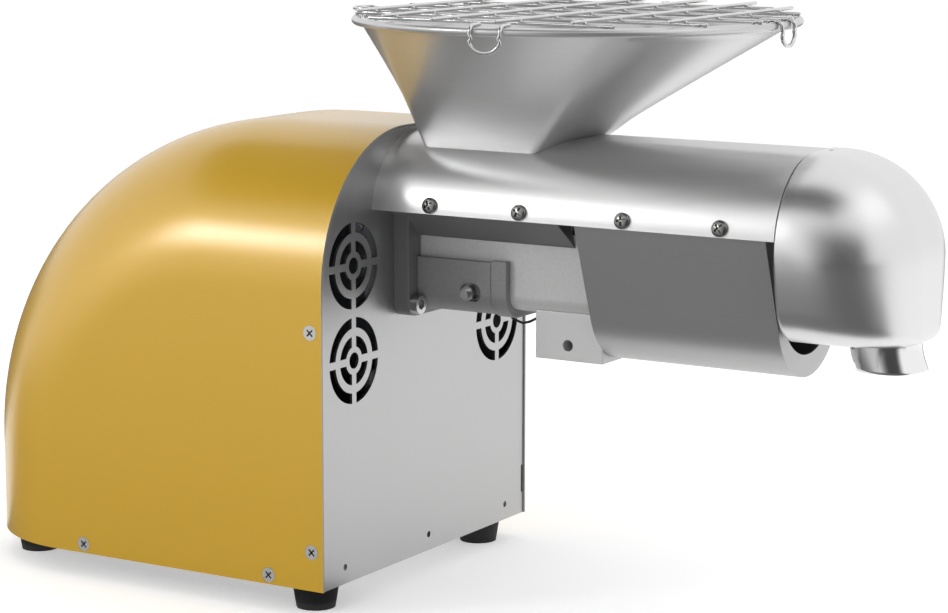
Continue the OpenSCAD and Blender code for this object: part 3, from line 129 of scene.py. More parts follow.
def paintedOutside(mat, paint, primer, centre):
    # paint where a face looks away from the centre, grey primer inside and on the cut front edge
    tree = mat.node_tree
    where = addNode(tree, "ShaderNodeTexCoord").outputs
    apart = {0: where["Object"], 1: [c * mm for c in centre]}
    out = addNode(tree, "ShaderNodeVectorMath", apart, operation="SUBTRACT").outputs["Vector"]
    along = {0: out, 1: where["Normal"]}
    facing = addNode(tree, "ShaderNodeVectorMath", along, operation="DOT_PRODUCT").outputs["Value"]
    outer = addNode(tree, "ShaderNodeMath", {0: facing, 1: 0.0}, operation="GREATER_THAN").outputs[0]
    varyTone(mat, outer, primer, paint)


def paintedRecessShade(mat, faceTone, shadeTone, headY):
    # painted shade on all that lies deeper than the heads' faces, which look along +Y and -Y
    tree = mat.node_tree
    where = addNode(tree, "ShaderNodeTexCoord").outputs["Object"]
    y = addNode(tree, "ShaderNodeSeparateXYZ", {"Vector": where}).outputs["Y"]
    out = addNode(tree, "ShaderNodeMath", {0: y}, operation="ABSOLUTE").outputs[0]
    face = addNode(tree, "ShaderNodeMath", {0: out, 1: headY * mm}, operation="GREATER_THAN").outputs[0]
    varyTone(mat, face, shadeTone, faceTone)


# The grain of brushed, blasted and ground metal is too fine to show from here, so it is drawn coarser.
# Gloss on metal stays on one side of 0.27: across that, it shows as dots once the render is denoised.

# baked metallic paint on steel sheet: warm satin gold under a thin clear coat
goldTone = "#C49A16"
shellMiddle = (panelX + 1.5, 0, 120)  # within the shell's arch, just in front of its cut edge
goldPaint = newMaterial("gold metallic paint", goldTone, 0.15, 0.4, Specular_IOR_Level=0.1, Coat_Weight=1.0,
                        Coat_Roughness=0.26, Coat_IOR=1.75)
paintedOutside(goldPaint, goldTone, "#8C8C8C", shellMiddle)
varyGloss(goldPaint, noisePattern(goldPaint, 1.5), 0.04)

# zinc plated housing screws: pale heads, with painted shade in the recess of the cross
zincTone = "#D6D6D3"
recessFrom = 0.08  # below the heads' faces
zincPlate = newMaterial("zinc plated steel", zincTone, 0.7, 0.31)
# the dark tone is painted shade in the recess of each cross
paintedRecessShade(zincPlate, zincTone, "#33332F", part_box("shell_screws")[1][1] / mm - recessFrom)
varyGloss(zincPlate, noisePattern(zincPlate, 1.2), 0.03)

# brushed sheet of the front panel: fine upright grain, soft mirror
brushedSheet = newMaterial("brushed stainless sheet", "#BABABA", 1.0, 0.36)
grain = noisePattern(brushedSheet, (0.4, 0.4, 60))
varyTone(brushedSheet, grain, "#B4B4B4", "#C0C0C0")
varyGloss(brushedSheet, grain, 0.06)

# bead-blasted sheet of the arm cover: even grey sheen, no grain direction
satinCover = newMaterial("satin blasted stainless", "#D4D4D4", 0.86, 0.32)
raiseGrain(satinCover, noisePattern(satinCover, 0.8), 0.014)

# polished and lightly satined cap: broad soft reflections
smoothCap = newMaterial("satin polished stainless", "#E0E0E0", 1.0, 0.3025)
varyGloss(smoothCap, noisePattern(smoothCap, 2), 0.0175)

# mill-finish sheet of the oil guard: flat dull grey with faint rolling lines
dullSheet = newMaterial("dull stainless sheet", "#B8B8B8", 0.9, 0.4)
varyTone(dullSheet, noisePattern(dullSheet, (40, 1.5, 1.5)), "#B5B5B5", "#BBBBBB")

# sheet rolled to a funnel: fine grain runs round it, soft broad reflections
hopperSheet = newMaterial("brushed hopper sheet", "#CBCBCB", 0.85, 0.31)
grain = noisePattern(hopperSheet, (60, 0.5, 1), source="UV")
varyTone(hopperSheet, grain, "#C4C4C4", "#D2D2D2")
varyGloss(hopperSheet, grain, 0.03)

# chromed steel wire: hard small highlights
brightWire = newMaterial("chromed wire", "#D8D8D8", 1.0, 0.145)
varyGloss(brightWire, noisePattern(brightWire, 3), 0.025)

# polished pipe of the spout: a near mirror
mirrorPipe = newMaterial("polished stainless pipe", "#EEEEEE", 1.0, 0.12)
varyGloss(mirrorPipe, noisePattern(mirrorPipe, (2, 2, 8)), 0.02)

# turned shafts, gears and bolts: bright, with a soft edge to each reflection
turnedSteel = newMaterial("turned steel", "#C4C4C4", 1.0, 0.24)
varyGloss(turnedSteel, noisePattern(turnedSteel, (0.4, 6, 6)), 0.03)

# sand cast and tumbled aluminium: mid grey, finely grained, dull
castAluminium = newMaterial("cast aluminium", "#BCBCBC", 0.5, 0.5)
raiseGrain(castAluminium, noisePattern(castAluminium, 0.7, 3.0), 0.06, 1.0)
varyTone(castAluminium, noisePattern(castAluminium, 0.9), "#B0B0B0", "#C8C8C8")

# heater casting: the same grain, darker
heaterCasting = newMaterial("darker heater casting", "#8E8E8E", 0.6, 0.48)
raiseGrain(heaterCasting, noisePattern(heaterCasting, 0.7, 3.0), 0.06, 0.8)
varyTone(heaterCasting, noisePattern(heaterCasting, 0.9), "#828282", "#9A9A9A")

# machined block: flat pale faces with a faint upright grain and broken edges
groundSteel = newMaterial("ground steel block", "#C4C4C4", 0.4, 0.4)
raiseGrain(groundSteel, noisePattern(groundSteel, (0.5, 0.5, 20)), 0.01, 0.8)

# oiled iron of the arm's frame: dark, a little glossy
darkCasting = newMaterial("dark casting", "#767677", 0.6, 0.45)
raiseGrain(darkCasting, noisePattern(darkCasting, 1.2, 4.0), 0.06, 1.2)

# oiled steel of the arm's screws: darker, hard highlights
blackSteel = newMaterial("oiled screw steel", "#8A8A88", 1.0, 0.205)
varyGloss(blackSteel, noisePattern(blackSteel, 1), 0.035)

# moulded rubber of the feet and the seal: soft black, faintly pebbled
rubber = newMaterial("black rubber", "#101010", 0.0, 0.7)
raiseGrain(rubber, noisePattern(rubber, 1), 0.02)
varyGloss(rubber, noisePattern(rubber, 0.8), 0.08)

# enamelled iron of motor and gearbox, inside: dark grey, half dull
motorIron = newMaterial("painted motor iron", "#4A4C50", 0.3, 0.5)
raiseGrain(motorIron, noisePattern(motorIron, 1.2), 0.02)
varyGloss(motorIron, noisePattern(motorIron, 1.5), 0.06)

# enamelled copper of the windings, inside: warm, half glossy
copper = newMaterial("enamelled copper", "#A4562A", 0.9, 0.35)
varyGloss(copper, noisePattern(copper, (0.6, 0.6, 6)), 0.05)

# moulded plastic of switch frames, inlet and fan: black with a faint sheen
blackPlastic = newMaterial("black plastic", "#191919", 0.0, 0.42)
raiseGrain(blackPlastic, noisePattern(blackPlastic, 0.7), 0.006)
varyGloss(blackPlastic, noisePattern(blackPlastic, 0.7), 0.05)

# moulded plastic of the drive rocker: signal red, smoother
redPlastic = newMaterial("red plastic", "#B3201A", 0.0, 0.35)
raiseGrain(redPlastic, noisePattern(redPlastic, 0.7), 0.004)
varyGloss(redPlastic, noisePattern(redPlastic, 0.7), 0.04)

# lacquered circuit board, inside: green with an uneven sheen
boardGreen = newMaterial("circuit board", "#1E5A34", 0.0, 0.45)
varyGloss(boardGreen, noisePattern(boardGreen, 4), 0.05)

# drawn aluminium can of the capacitor, inside: bright with lines along it
canAluminium = newMaterial("aluminium can", "#C9C9C9", 1.0, 0.35)
varyGloss(canAluminium, noisePattern(canAluminium, (0.5, 0.5, 20)), 0.05)

finishes = [
    (goldPaint, "shell"),
    (brushedSheet, "front_panel"),
    (satinCover, "arm_cover"),
    (smoothCap, "end_cap"),
    (dullSheet, "oil_guard oil_guard_plate"),
    (hopperSheet, "hopper"),
    (brightWire, "guard_ring guard_wires guard_clips"),
    (mirrorPipe, "spout"),
    (turnedSteel, "base_plate motor_saddle output_gear output_shaft idler_gear idler_shaft motor_shaft"
                  " press_screw press_barrel barrel_nut flange_bolts lock_pin"
                  " motor_bearings idler_bearings output_bearings"),
    (castAluminium, "barrel_holder"),
    (heaterCasting, "heater_jacket jacket_band"),
    (darkCasting, "arm_frame"),
    (groundSteel, "support_block"),
    (zincPlate, "shell_screws"),
    (blackSteel, "foot_screws gearbox_bolts motor_bolts cover_screws"),
    (rubber, "foot_front_near foot_front_far foot_rear_near foot_rear_far shaft_seal"),
    (motorIron, "motor_can motor_end_bell stator_core rotor_core gearbox_case gearbox_lid"),
    (copper, "stator_coils"),
    (blackPlastic, "cooling_fan drive_switch_frame heat_switch_frame heat_rocker mains_inlet"
                   " capacitor_clip sensor_lead"),
    (redPlastic, "drive_rocker"),
    (boardGreen, "control_board"),
    (canAluminium, "run_capacitor"),
]
for mat, names in finishes:
    for name in names.split():
        nodes[name].data.materials.clear()
        nodes[name].data.materials.append(mat)
print("materials ready:", len(finishes))


# surfaces made from arrays of points

mergeGap = 0.001                      # points this near become one
wireEnd = ((0.0, 0.5), (0.7, 0.35))   # rings that close a wire: radius and way out, by the wire's radius


def fullTurn(steps):
    # angles of a closed circle, in even steps
    return np.linspace(0, 2 * np.pi, steps, endpoint=False)


def gridFaces(rows, cols, wrapRows, wrapCols):
    # quads between neighbouring rows and columns of points
    i = np.arange(rows if wrapRows else rows - 1)
    j = np.arange(cols if wrapCols else cols - 1)
    a, b = np.meshgrid(i, j, indexing="ij")
    c, d = (a + 1) % rows, (b + 1) % cols
    return np.stack([a * cols + b, c * cols + b, c * cols + d, a * cols + d], -1).reshape(-1, 4)


def makePiece(name, grids, mat, body, replaced, sharp=35, wall=0.0):
    # one object from grids of points (rows, cols, 3) in mm, each with its wraps and any grain, in mm too;
    # edges over that many degrees stay sharp, and a wall goes inward from the surface
    verts, faces, grains, start = [], [], [], 0
    for points, wrapRows, wrapCols, *more in grids:
        rows, cols = points.shape[:2]
        verts.append(points.reshape(-1, 3))
        grains.append(more[0].reshape(-1, 2) if more else np.zeros((rows * cols, 2)))
        faces.append(start + gridFaces(rows, cols, wrapRows, wrapCols))
        start += rows * cols
    verts, faces, grains = np.concatenate(verts), np.concatenate(faces), np.concatenate(grains)
    mesh = bpy.data.meshes.new(name)
    mesh.from_pydata((verts + (panelX, 0, 0)) * mm, [], faces.tolist())
    mesh.uv_layers.new(name="grain").data.foreach_set("uv", (grains[faces] * mm).astype(np.float32).ravel())
    work = bmesh.new()
    work.from_mesh(mesh)
    bmesh.ops.remove_doubles(work, verts=work.verts, dist=mergeGap * mm)
    bmesh.ops.recalc_face_normals(work, faces=work.faces)
    work.to_mesh(mesh)
    work.free()
    mesh.shade_smooth()
    mesh.set_sharp_from_angle(angle=math.radians(sharp))
    mesh.materials.append(mat)
    piece = bpy.data.objects.new(name, mesh)
    bpy.context.scene.collection.objects.link(piece)
    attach(piece, body)
    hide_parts(*replaced)
    if wall:
        thick = piece.modifiers.new("wall", "SOLIDIFY")
        thick.thickness = wall * mm
        thick.offset = -1


def tube(path, radius, sides=12, closed=False):
    # circles of that radius square to a path of points; open ends close on a small dome
    p = np.asarray(path, float)
    along = np.roll(p, -1, 0) - np.roll(p, 1, 0) if closed else np.gradient(p, axis=0)
    along /= np.linalg.norm(along, axis=1, keepdims=True)
    # one direction across is carried from point to point, so that the circles don't twist
    upright = abs(along[0][2]) > 0.9
    side = np.cross(along[0], (1, 0, 0) if upright else (0, 0, 1))
    across = np.empty_like(p)
    for i, t in enumerate(along):
        side = side - t * side.dot(t)
        side /= np.linalg.norm(side)
        across[i] = side
    turn = fullTurn(sides)[:, None]
    ring = radius * (np.cos(turn) * across[:, None] + np.sin(turn) * np.cross(along, across)[:, None])
    points = p[:, None] + ring
    if not closed:
        first = [p[0] - along[0] * radius * out + ring[0] * share for share, out in wireEnd]
        last = [p[-1] + along[-1] * radius * out + ring[-1] * share for share, out in wireEnd[::-1]]
        points = np.concatenate([first, points, last])
    return points, closed, True


def smoothPath(points, steps=8):
    # a path through the points by Catmull-Rom curves
    p = np.asarray(points, float)
    p = np.concatenate([2 * p[:1] - p[1:2], p, 2 * p[-1:] - p[-2:-1]])
    t = np.linspace(0, 1, steps, endpoint=False)[:, None]
    parts = []
    for a, b, c, d in zip(p, p[1:], p[2:], p[3:]):
        square, cube = 2 * a - 5 * b + 4 * c - d, 3 * b - a - 3 * c + d
        parts.append(0.5 * (2 * b + (c - a) * t + square * t ** 2 + cube * t ** 3))
    return np.concatenate(parts + [p[-2:-1]])


def ringAt(angle, x, r, z):
    # level circle of radius r about the upright line at x, at height z
    return np.stack([x + r * np.cos(angle), r * np.sin(angle), np.full(np.shape(angle), z)], -1)


# hopper: each side of a square foot runs up to an arc of a round rim, so a crease rises from each corner
# and dies out; below, a rectangle leads down to the outlet

hopper = {
    "rim": (91.6, 311.2),                        # x and z of the bead's centre
    "rimR": 112.0,                               # upper end of the cone
    "beadR": 115.1, "bead": 2.2,                 # rolled edge: its circle and its thickness, as radii
    "seat": 0.1,                                 # cone's upper edge below the middle of the bead
    "foot": (53.5, 69.0, 70.0, 245.0),           # x, length, width and z
    "throat": (36.4, 28.4, 224.0),               # length, width and z
    "low": 203.0,                                # z of the outlet
    "footR": 4.0, "throatR": 2.0,                # rounding of their corners
    "wall": 1.2,
    "crease": 55.0, "cornerTurn": 3.0,           # a crease's place on the rim and half its width, in degrees
    "grainAt": (-60.0, -30.0, 100.0, 103.0),     # way along the sheet of outlet, throat, rim and bead
    "cornerSteps": 8, "sideSteps": 30, "rows": 16, "rimSteps": 144, "beadSides": 16,
}


def rimAngles(h):
    # a few degrees round each crease's end on the rim, then a side's run to the next crease, four times
    c, half = h["crease"], h["cornerTurn"]
    ends = [c, 180 - c, 180 + c, 360 - c, 360 + c]
    runs = []
    for here, after in zip(ends[:-1], ends[1:]):
        runs.append(np.linspace(here - half, here + half, h["cornerSteps"], endpoint=False))
        runs.append(np.linspace(here + half, after - half, h["sideSteps"], endpoint=False))
    return np.radians(np.concatenate(runs))


def roundRectangle(h, x, length, width, radius, z):
    # a rectangle with round corners, from the corner at +X +Y on, in the same steps as the rim's angles
    reach = np.array((length / 2 - radius, width / 2 - radius))
    centres = [reach * signs for signs in ((1, 1), (-1, 1), (-1, -1), (1, -1), (1, 1))]
    t = np.linspace(0, 1, h["sideSteps"], endpoint=False)[:, None]
    points = []
    for k in range(4):
        a = np.radians(np.linspace(90 * k, 90 * k + 90, h["cornerSteps"], endpoint=False))
        points.append(centres[k] + radius * np.stack([np.cos(a), np.sin(a)], -1))
        end = math.radians(90 * k + 90)
        out = radius * np.array((math.cos(end), math.sin(end)))
        points.append(centres[k] * (1 - t) + centres[k + 1] * t + out)
    flat = np.concatenate(points)
    return np.column_stack([x + flat[:, 0], flat[:, 1], np.full(len(flat), z)])


def makeHopper(h):
    # straight lines from each point of the foot up to the rim's at the same step, and down to the outlet's
    angle = rimAngles(h)
    rimX, rimZ = h["rim"]
    rim = ringAt(angle, rimX, h["rimR"], rimZ - h["seat"])
    flange = ringAt(angle, rimX, h["beadR"], rimZ - h["seat"])
    x, length, width, z = h["foot"]
    foot = roundRectangle(h, x, length, width, h["footR"], z)
    throatL, throatW, throatZ = h["throat"]
    throat = roundRectangle(h, x, throatL, throatW, h["throatR"], throatZ)
    low = roundRectangle(h, x, throatL, throatW, h["throatR"], h["low"])
    t = np.linspace(0, 1, h["rows"])[:, None, None]
    cone = foot * (1 - t) + rim * t
    outer = np.concatenate([low[None], throat[None], cone, flange[None]])
    # grain: across by the run half-way between foot and rim, along by the slope
    middle = (rim + foot) / 2
    across = np.cumsum(np.linalg.norm(np.diff(middle, axis=0, append=middle[:1]), axis=1))
    lowAt, throatAt, rimAt, flangeAt = h["grainAt"]
    along = np.concatenate([[lowAt, throatAt], np.linspace(0, rimAt, h["rows"]), [flangeAt]])
    grain = np.stack(np.broadcast_arrays(across[None, :], along[:, None]), -1)
    makePiece("hopper_funnel", [(outer, False, True, grain)], hopperSheet, "hopper",
              ["hopper"], wall=h["wall"])
    bead = tube(ringAt(fullTurn(h["rimSteps"]), rimX, h["beadR"], rimZ), h["bead"], h["beadSides"], True)
    makePiece("hopper_rim", [bead], hopperSheet, "hopper", [])


makeHopper(hopper)
print("hopper ready")


# wire guard: a ring, two layers of crossed wires with weld spots, clips hooked over the rim

guard = {
    "wire": 1.0,                                 # radius
    "ringR": 111.75, "ringZ": 312.4,
    "pitch": 36.0, "count": 6, "over": 4.0,      # crossed wires: spacing, number each way, ends past ring
    "spot": 1.35, "spotOver": 2.0,               # weld spots: radius, and how far past the ring they go
    "clips": (-83, 2, 97), "flatClip": 205,      # where the hooked clips and the flat one sit, in degrees
    "clipR": 118.7, "clipHalf": 8.0,             # a clip's outermost line and half its width
    "clipLeg": [                                 # way in from that line, share of the half width, drop
        (11.95, 1, 0), (7, 1, 0), (3, 1, 0.2), (0.5, 1, 2), (0, 1, 4.5),
        (0, 0.9, 6.2), (0, 1, 8), (0, 0.82, 10.4), (0, 0.45, 12.4), (0, 0, 13),
    ],
    "flatEnd": 1.9, "flatStart": 4.0,            # flat clip: ends short of clipR, starts inside the ring
    "ringSteps": 144, "wireSteps": 25, "loopSteps": 25, "spotRows": 7, "spotSides": 10,
}


def weldSpot(g, x, y, z):
    # a small ball by latitude and longitude
    rows = np.linspace(-np.pi / 2, np.pi / 2, g["spotRows"])
    lat, lon = np.meshgrid(rows, fullTurn(g["spotSides"]), indexing="ij")
    ball = np.stack([np.cos(lat) * np.cos(lon), np.cos(lat) * np.sin(lon), np.sin(lat)], -1)
    return (x, y, z) + ball * g["spot"], False, True


def hookPath(g, z):
    # a clip drawn on +X: in from the ring, over the rim, down, drawn in and out to a loop, and back
    back, share, drop = np.array(g["clipLeg"]).T
    leg = np.stack([g["clipR"] - back, g["clipHalf"] * share, z - drop], -1)
    return smoothPath(np.concatenate([leg, leg[-2::-1] * (1, -1, 1)]))


def flatPath(g, z):
    # a clip that lies on the wires: two short legs and a half circle
    h = g["clipHalf"]
    start, centre = g["ringR"] - g["flatStart"], g["clipR"] - g["flatEnd"] - h
    a = np.linspace(np.pi / 2, -np.pi / 2, g["loopSteps"])
    loop = np.stack([centre + h * np.cos(a), h * np.sin(a), np.full(a.size, z)], -1)
    return np.concatenate([[(start, h, z)], loop, [(start, -h, z)]])


def turned(path, angle, x):
    # a path turned about Z by that many degrees, then moved along X
    c, s = math.cos(math.radians(angle)), math.sin(math.radians(angle))
    return np.stack([x + path[:, 0] * c - path[:, 1] * s, path[:, 0] * s + path[:, 1] * c, path[:, 2]], -1)


def makeGuard(g, rimX):
    # wires are chords of the ring, one layer along X and one on top of it along Y
    wire = g["wire"]
    low, high = g["ringZ"] + 2 * wire, g["ringZ"] + 4 * wire
    ring = tube(ringAt(fullTurn(g["ringSteps"]), rimX, g["ringR"], g["ringZ"]), wire, closed=True)
    offsets = (np.arange(g["count"]) - (g["count"] - 1) / 2) * g["pitch"]
    wires, spots = [], []
    for o in offsets:
        half = math.sqrt(g["ringR"] ** 2 - o ** 2) + g["over"]
        run = np.linspace(-half, half, g["wireSteps"])
        same = np.full(run.size, o)
        wires.append(tube(np.stack([rimX + run, same, np.full(run.size, low)], -1), wire))
        wires.append(tube(np.stack([rimX + same, run, np.full(run.size, high)], -1), wire))
        crossings = [p for p in offsets if math.hypot(p, o) < g["ringR"] + g["spotOver"]]
        spots += [weldSpot(g, rimX + p, o, (low + high) / 2) for p in crossings]
    clips = [tube(turned(hookPath(g, low), angle, rimX), wire) for angle in g["clips"]]
    clips.append(tube(turned(flatPath(g, high), g["flatClip"], rimX), wire))
    makePiece("wire_guard_ring", [ring], brightWire, "wire_guard", ["guard_ring"])
    makePiece("wire_guard_wires", wires + spots, brightWire, "wire_guard", ["guard_wires"])
    makePiece("wire_guard_clips", clips, brightWire, "wire_guard", ["guard_clips"])


makeGuard(guard, hopper["rim"][0])
print("wire guard ready")


# end cap: a rounded end that turns down, its sides leaning in below the shoulder

cap = {
    "rear": 232.5, "front": 291.0,               # x of its ends
    "half": 56.8,                                # half its width
    "corner": 47.0, "arc": 53.0,                 # rounding of corners and shoulders, and of the top's front
    "top": 251.2, "low": 158.5,
    "lean": 20.0, "leanIn": 20.0,                # sides' slope in degrees, and the height that eases it in
    "sideEdge": 18.0, "frontEdge": 5.0,          # rolled lower edge
    "hole": (269.0, 16.8),                       # for the spout: x and radius
    "wall": 2.5,
    "sideSteps": 8, "cornerSteps": 28, "frontSteps": 9,
    "edgeRows": 9, "wallRows": 14, "domeRows": 31, "crownRows": 6, "rearSteps": 24, "floorRows": 4,
    "sharp": 50,
}


def cornerAngles(c):
    # degrees round an upright corner, from the side's 90 to just short of the front's 0
    return np.linspace(90, 0, c["cornerSteps"], endpoint=False)


def capRow(c, z):
    # one level of the cap: along the near side, round its corner, across the front, then mirrored back;
    # above, widths follow the shoulder's circle and lengths the arc's, and below, the sides lean in
    flat, back = c["half"] - c["corner"], c["front"] - c["arc"]
    shoulder, centre = c["top"] - c["corner"], c["top"] - c["arc"]
    up, rise, down = max(z - shoulder, 0), max(z - centre, 0), max(shoulder - z, 0)
    width = flat + math.sqrt(max(c["corner"] ** 2 - up ** 2, 0))
    lean = math.tan(math.radians(c["lean"])) * (down - c["leanIn"] * (1 - math.exp(-down / c["leanIn"])))
    squeeze = (width - lean) / width
    y = flat + (width - flat) * np.sin(np.radians(cornerAngles(c)))
    reach = c["arc"] - c["corner"] + np.sqrt(np.maximum(c["corner"] ** 2 - (y - flat) ** 2, 0))
    x = back + np.sqrt(np.maximum(reach ** 2 - rise ** 2, 0))
    sideX = np.linspace(c["rear"], x[0], c["sideSteps"], endpoint=False)
    sideY = np.full(c["sideSteps"], width)
    frontX = np.full(c["frontSteps"], back + math.sqrt(max(c["arc"] ** 2 - rise ** 2, 0)))
    frontY = np.linspace(-flat, flat, c["frontSteps"])
    xs = np.concatenate([sideX, x, frontX, x[::-1], sideX[::-1]])
    ys = np.concatenate([-sideY, -y, frontY, y[::-1], sideY]) * squeeze
    return np.stack([xs, ys, np.full(xs.size, z)], -1)


def capColumns(c, heights):
    # one row of the cap in which each column has a height of its own
    return np.stack([capRow(c, z)[j] for j, z in enumerate(heights)])


def edgeRadii(c):
    # radius of the rolled edge at each column: wide along the sides, narrow across the front
    near = np.concatenate([np.full(c["sideSteps"], 90.0), cornerAngles(c)])
    angle = np.concatenate([near, np.zeros(c["frontSteps"]), near[::-1]])
    return c["frontEdge"] + (c["sideEdge"] - c["frontEdge"]) * np.sin(np.radians(angle)) ** 2


def makeCap(c):
    # rows from the floor up: a quarter circle at the rolled edge, straight walls, a quarter circle on top
    edge = edgeRadii(c)
    rows = []
    for psi in np.radians(np.linspace(90, 0, c["edgeRows"])):
        # each column goes in by its own radius, along the outline's inward normal
        level = capColumns(c, c["low"] + edge * (1 - math.sin(psi)))
        along = np.gradient(level[:, :2], axis=0)
        inward = np.stack([-along[:, 1], along[:, 0]], -1) / np.linalg.norm(along, axis=1, keepdims=True)
        inward[:c["sideSteps"]] = (0, 1)
        inward[-c["sideSteps"]:] = (0, -1)
        level[:, :2] += inward * (edge * (1 - math.cos(psi)))[:, None]
        rows.append(level)
    start, centre = c["low"] + edge, c["top"] - c["arc"]
    for t in np.linspace(0, 1, c["wallRows"])[1:]:
        rows.append(capColumns(c, start + (centre - start) * t))
    for phi in np.radians(np.linspace(0, 90, c["domeRows"]))[1:]:
        rows.append(capRow(c, centre + c["arc"] * math.sin(phi)))
    body = np.stack(rows)
    # crown: from the near half of the top row straight across to its far half
    top = body[-1]
    half = len(top) // 2 + 1
    t = np.linspace(0, 1, c["crownRows"])[:, None, None]
    crown = top[:half] * (1 - t) + top[::-1][:half] * t
    # floor: from the outline, closed across the rear, straight to the spout's hole
    outline = body[0]
    t = np.linspace(0, 1, c["rearSteps"], endpoint=False)[1:, None]
    loop = np.concatenate([outline, outline[-1] + (outline[0] - outline[-1]) * t])
    holeX, holeR = c["hole"]
    out = loop[:, :2] - (holeX, 0)
    out /= np.linalg.norm(out, axis=1, keepdims=True)
    hole = np.column_stack([(holeX, 0) + holeR * out, loop[:, 2]])
    floor = loop + (hole - loop) * np.linspace(0, 1, c["floorRows"])[:, None, None]
    makePiece("end_cap_body", [(body, False, False), (crown, False, False), (floor, False, True)], smoothCap,
              "cap", ["end_cap"], c["sharp"], c["wall"])


makeCap(cap)


# spout: a short round pipe that bends forward a little, cut level at its foot

spout = {
    "top": (268.2, 159.0, 17.9), "foot": (271.6, 143.9, 18.4),   # x, z and radius
    "wall": 1.4,
    "rows": 12, "sides": 72,
}


def makeSpout(s):
    # level circles whose centre moves forward with the square of the way down
    (x0, z0, r0), (x1, z1, r1) = s["top"], s["foot"]
    turn = fullTurn(s["sides"])
    rings = []
    for t in np.linspace(0, 1, s["rows"]):
        rings.append(ringAt(turn, x0 + (x1 - x0) * t * t, r0 + (r1 - r0) * t, z0 + (z1 - z0) * t))
    makePiece("spout_pipe", [(np.stack(rings), False, True)], mirrorPipe, "cap", ["spout"],
              wall=s["wall"])


makeSpout(spout)
print("cap and spout ready")


# pan-head screws along the cover: a low dome with a sunk cross

panHead = {
    "r": 4.2, "h": 2.4,
    "dome": 0.65, "domeTo": 0.96,                # dome's share of the height, and of its own quarter circle
    "brim": 0.97, "brimH": 0.45,                 # dome's end and the edge's height, as shares of r and h
    "seat": 0.2,                                 # depth of the edge in the cover
    "arm": 2.7, "slot": 0.62, "deep": 1.3,       # cross: half its length, half its width, its depth
    "armEdge": 0.5, "slotEdge": 0.16,            # run of the slopes at its ends and sides
    "along": (35.7, 89.3, 148.9, 202.8),         # x of the screws
    "z": 215.6,
    "arc": (12.2, 206.3, 44.0),                  # cover's shoulder: y and z of its centre, radius
    "turn": (0.5, 0.6),                          # first cross's turn and what each next one adds, in radians
    "rings": 34, "sides": 96, "sharp": 40,
}


def crossHead(p, turn):
    # heights over rings of a disc: a dome, less the deeper of two crossed slots, then a straight edge
    r = np.append(np.linspace(0, p["brim"], p["rings"]), (1, 1)) * p["r"]
    rr, aa = np.meshgrid(r, fullTurn(p["sides"]), indexing="ij")
    dome = np.sqrt(1 - (p["domeTo"] * rr / p["r"]) ** 2)
    sunk = np.zeros_like(rr)
    for k in (0, np.pi / 2):
        u, v = rr * np.cos(aa - turn - k), rr * np.sin(aa - turn - k)
        slot = np.clip((p["slot"] - np.abs(u)) / p["slotEdge"], 0, 1)
        arm = np.clip((p["arm"] - np.abs(v)) / p["armEdge"], 0, 1)
        sunk = np.maximum(sunk, slot * arm)
    z = p["h"] * (1 - p["dome"] + p["dome"] * dome) - p["deep"] * sunk
    z[-2] = p["h"] * p["brimH"]
    z[-1] = -p["seat"]
    return np.stack([rr * np.cos(aa), rr * np.sin(aa), z], -1)


def makePanHeads(p):
    # one head after another along each side of the cover, square to its round shoulder
    flat, centreZ, arc = p["arc"]
    tilt = math.asin((p["z"] - centreZ) / arc)
    first, step = p["turn"]
    across = np.array((1.0, 0, 0))
    heads = []
    for side in (-1, 1):
        out = np.array((0, side * math.cos(tilt), math.sin(tilt)))
        up = np.cross(out, across)
        for i, x in enumerate(p["along"]):
            u, v, w = np.split(crossHead(p, first + step * i), 3, -1)
            at = np.array((x, side * (flat + arc * math.cos(tilt)), p["z"]))
            heads.append((at + u * across + v * up + w * out, False, True))
    makePiece("cover_screw_heads", heads, blackSteel, "frame", ["cover_screws"], p["sharp"])


makePanHeads(panHead)
print("screws ready")


# camera at the photograph's viewpoint

shot = {
    "at": (783.107, -1246.155, 397.115),
    "turn": 31.175, "down": 9.472, "roll": 0.071,   # degrees
    "lens": 103.54, "sensor": 36,
}


def placeCamera(s):
    # looks back along the direction given by the turn about Z and the angle down
    turn, down, roll = (math.radians(s[k]) for k in ("turn", "down", "roll"))
    back = Vector((math.sin(turn) * math.cos(down), -math.cos(turn) * math.cos(down), math.sin(down)))
    right = Vector((math.cos(turn), math.sin(turn), 0))
    up = back.cross(right)
    right, up = math.cos(roll) * right + math.sin(roll) * up, math.cos(roll) * up - math.sin(roll) * right
    data = bpy.data.cameras.new("photo camera")
    data.lens = s["lens"]
    data.sensor_width = s["sensor"]
    cam = bpy.data.objects.new("photo camera", data)
    bpy.context.scene.collection.objects.link(cam)
    m = Matrix((right, up, back)).transposed().to_4x4()
    m.translation = (Vector(s["at"]) + Vector((panelX, 0, 0))) * mm
    cam.matrix_world = m
    bpy.context.scene.camera = cam


placeCamera(shot)


# studio, in metres: white sweep, soft boxes, cards that only metal sees

studio = {
    "paper": "#F7F7F7", "paperGlow": 0.36, "paperSize": 16,
    "worldOnMatt": 0.7,   # the white world's strength as a light on paint, rubber and floor
}

# name, place, aim, width and height, watts, whether metal shows it, spread in degrees
lights = [
    ("left box", (-0.9, -1.8, 1.2), (0, 0, 0.12), (1.4, 1.4), 6, False, 180),
    ("top box", (0.1, 0.2, 1.9), (0, 0, 0.1), (1.6, 1.4), 6, False, 180),
    ("gridded box", (-1.12, -1.16, 0.76), (-0.2, -0.09, 0.2), (0.75, 0.4), 0.16, True, 17),
]

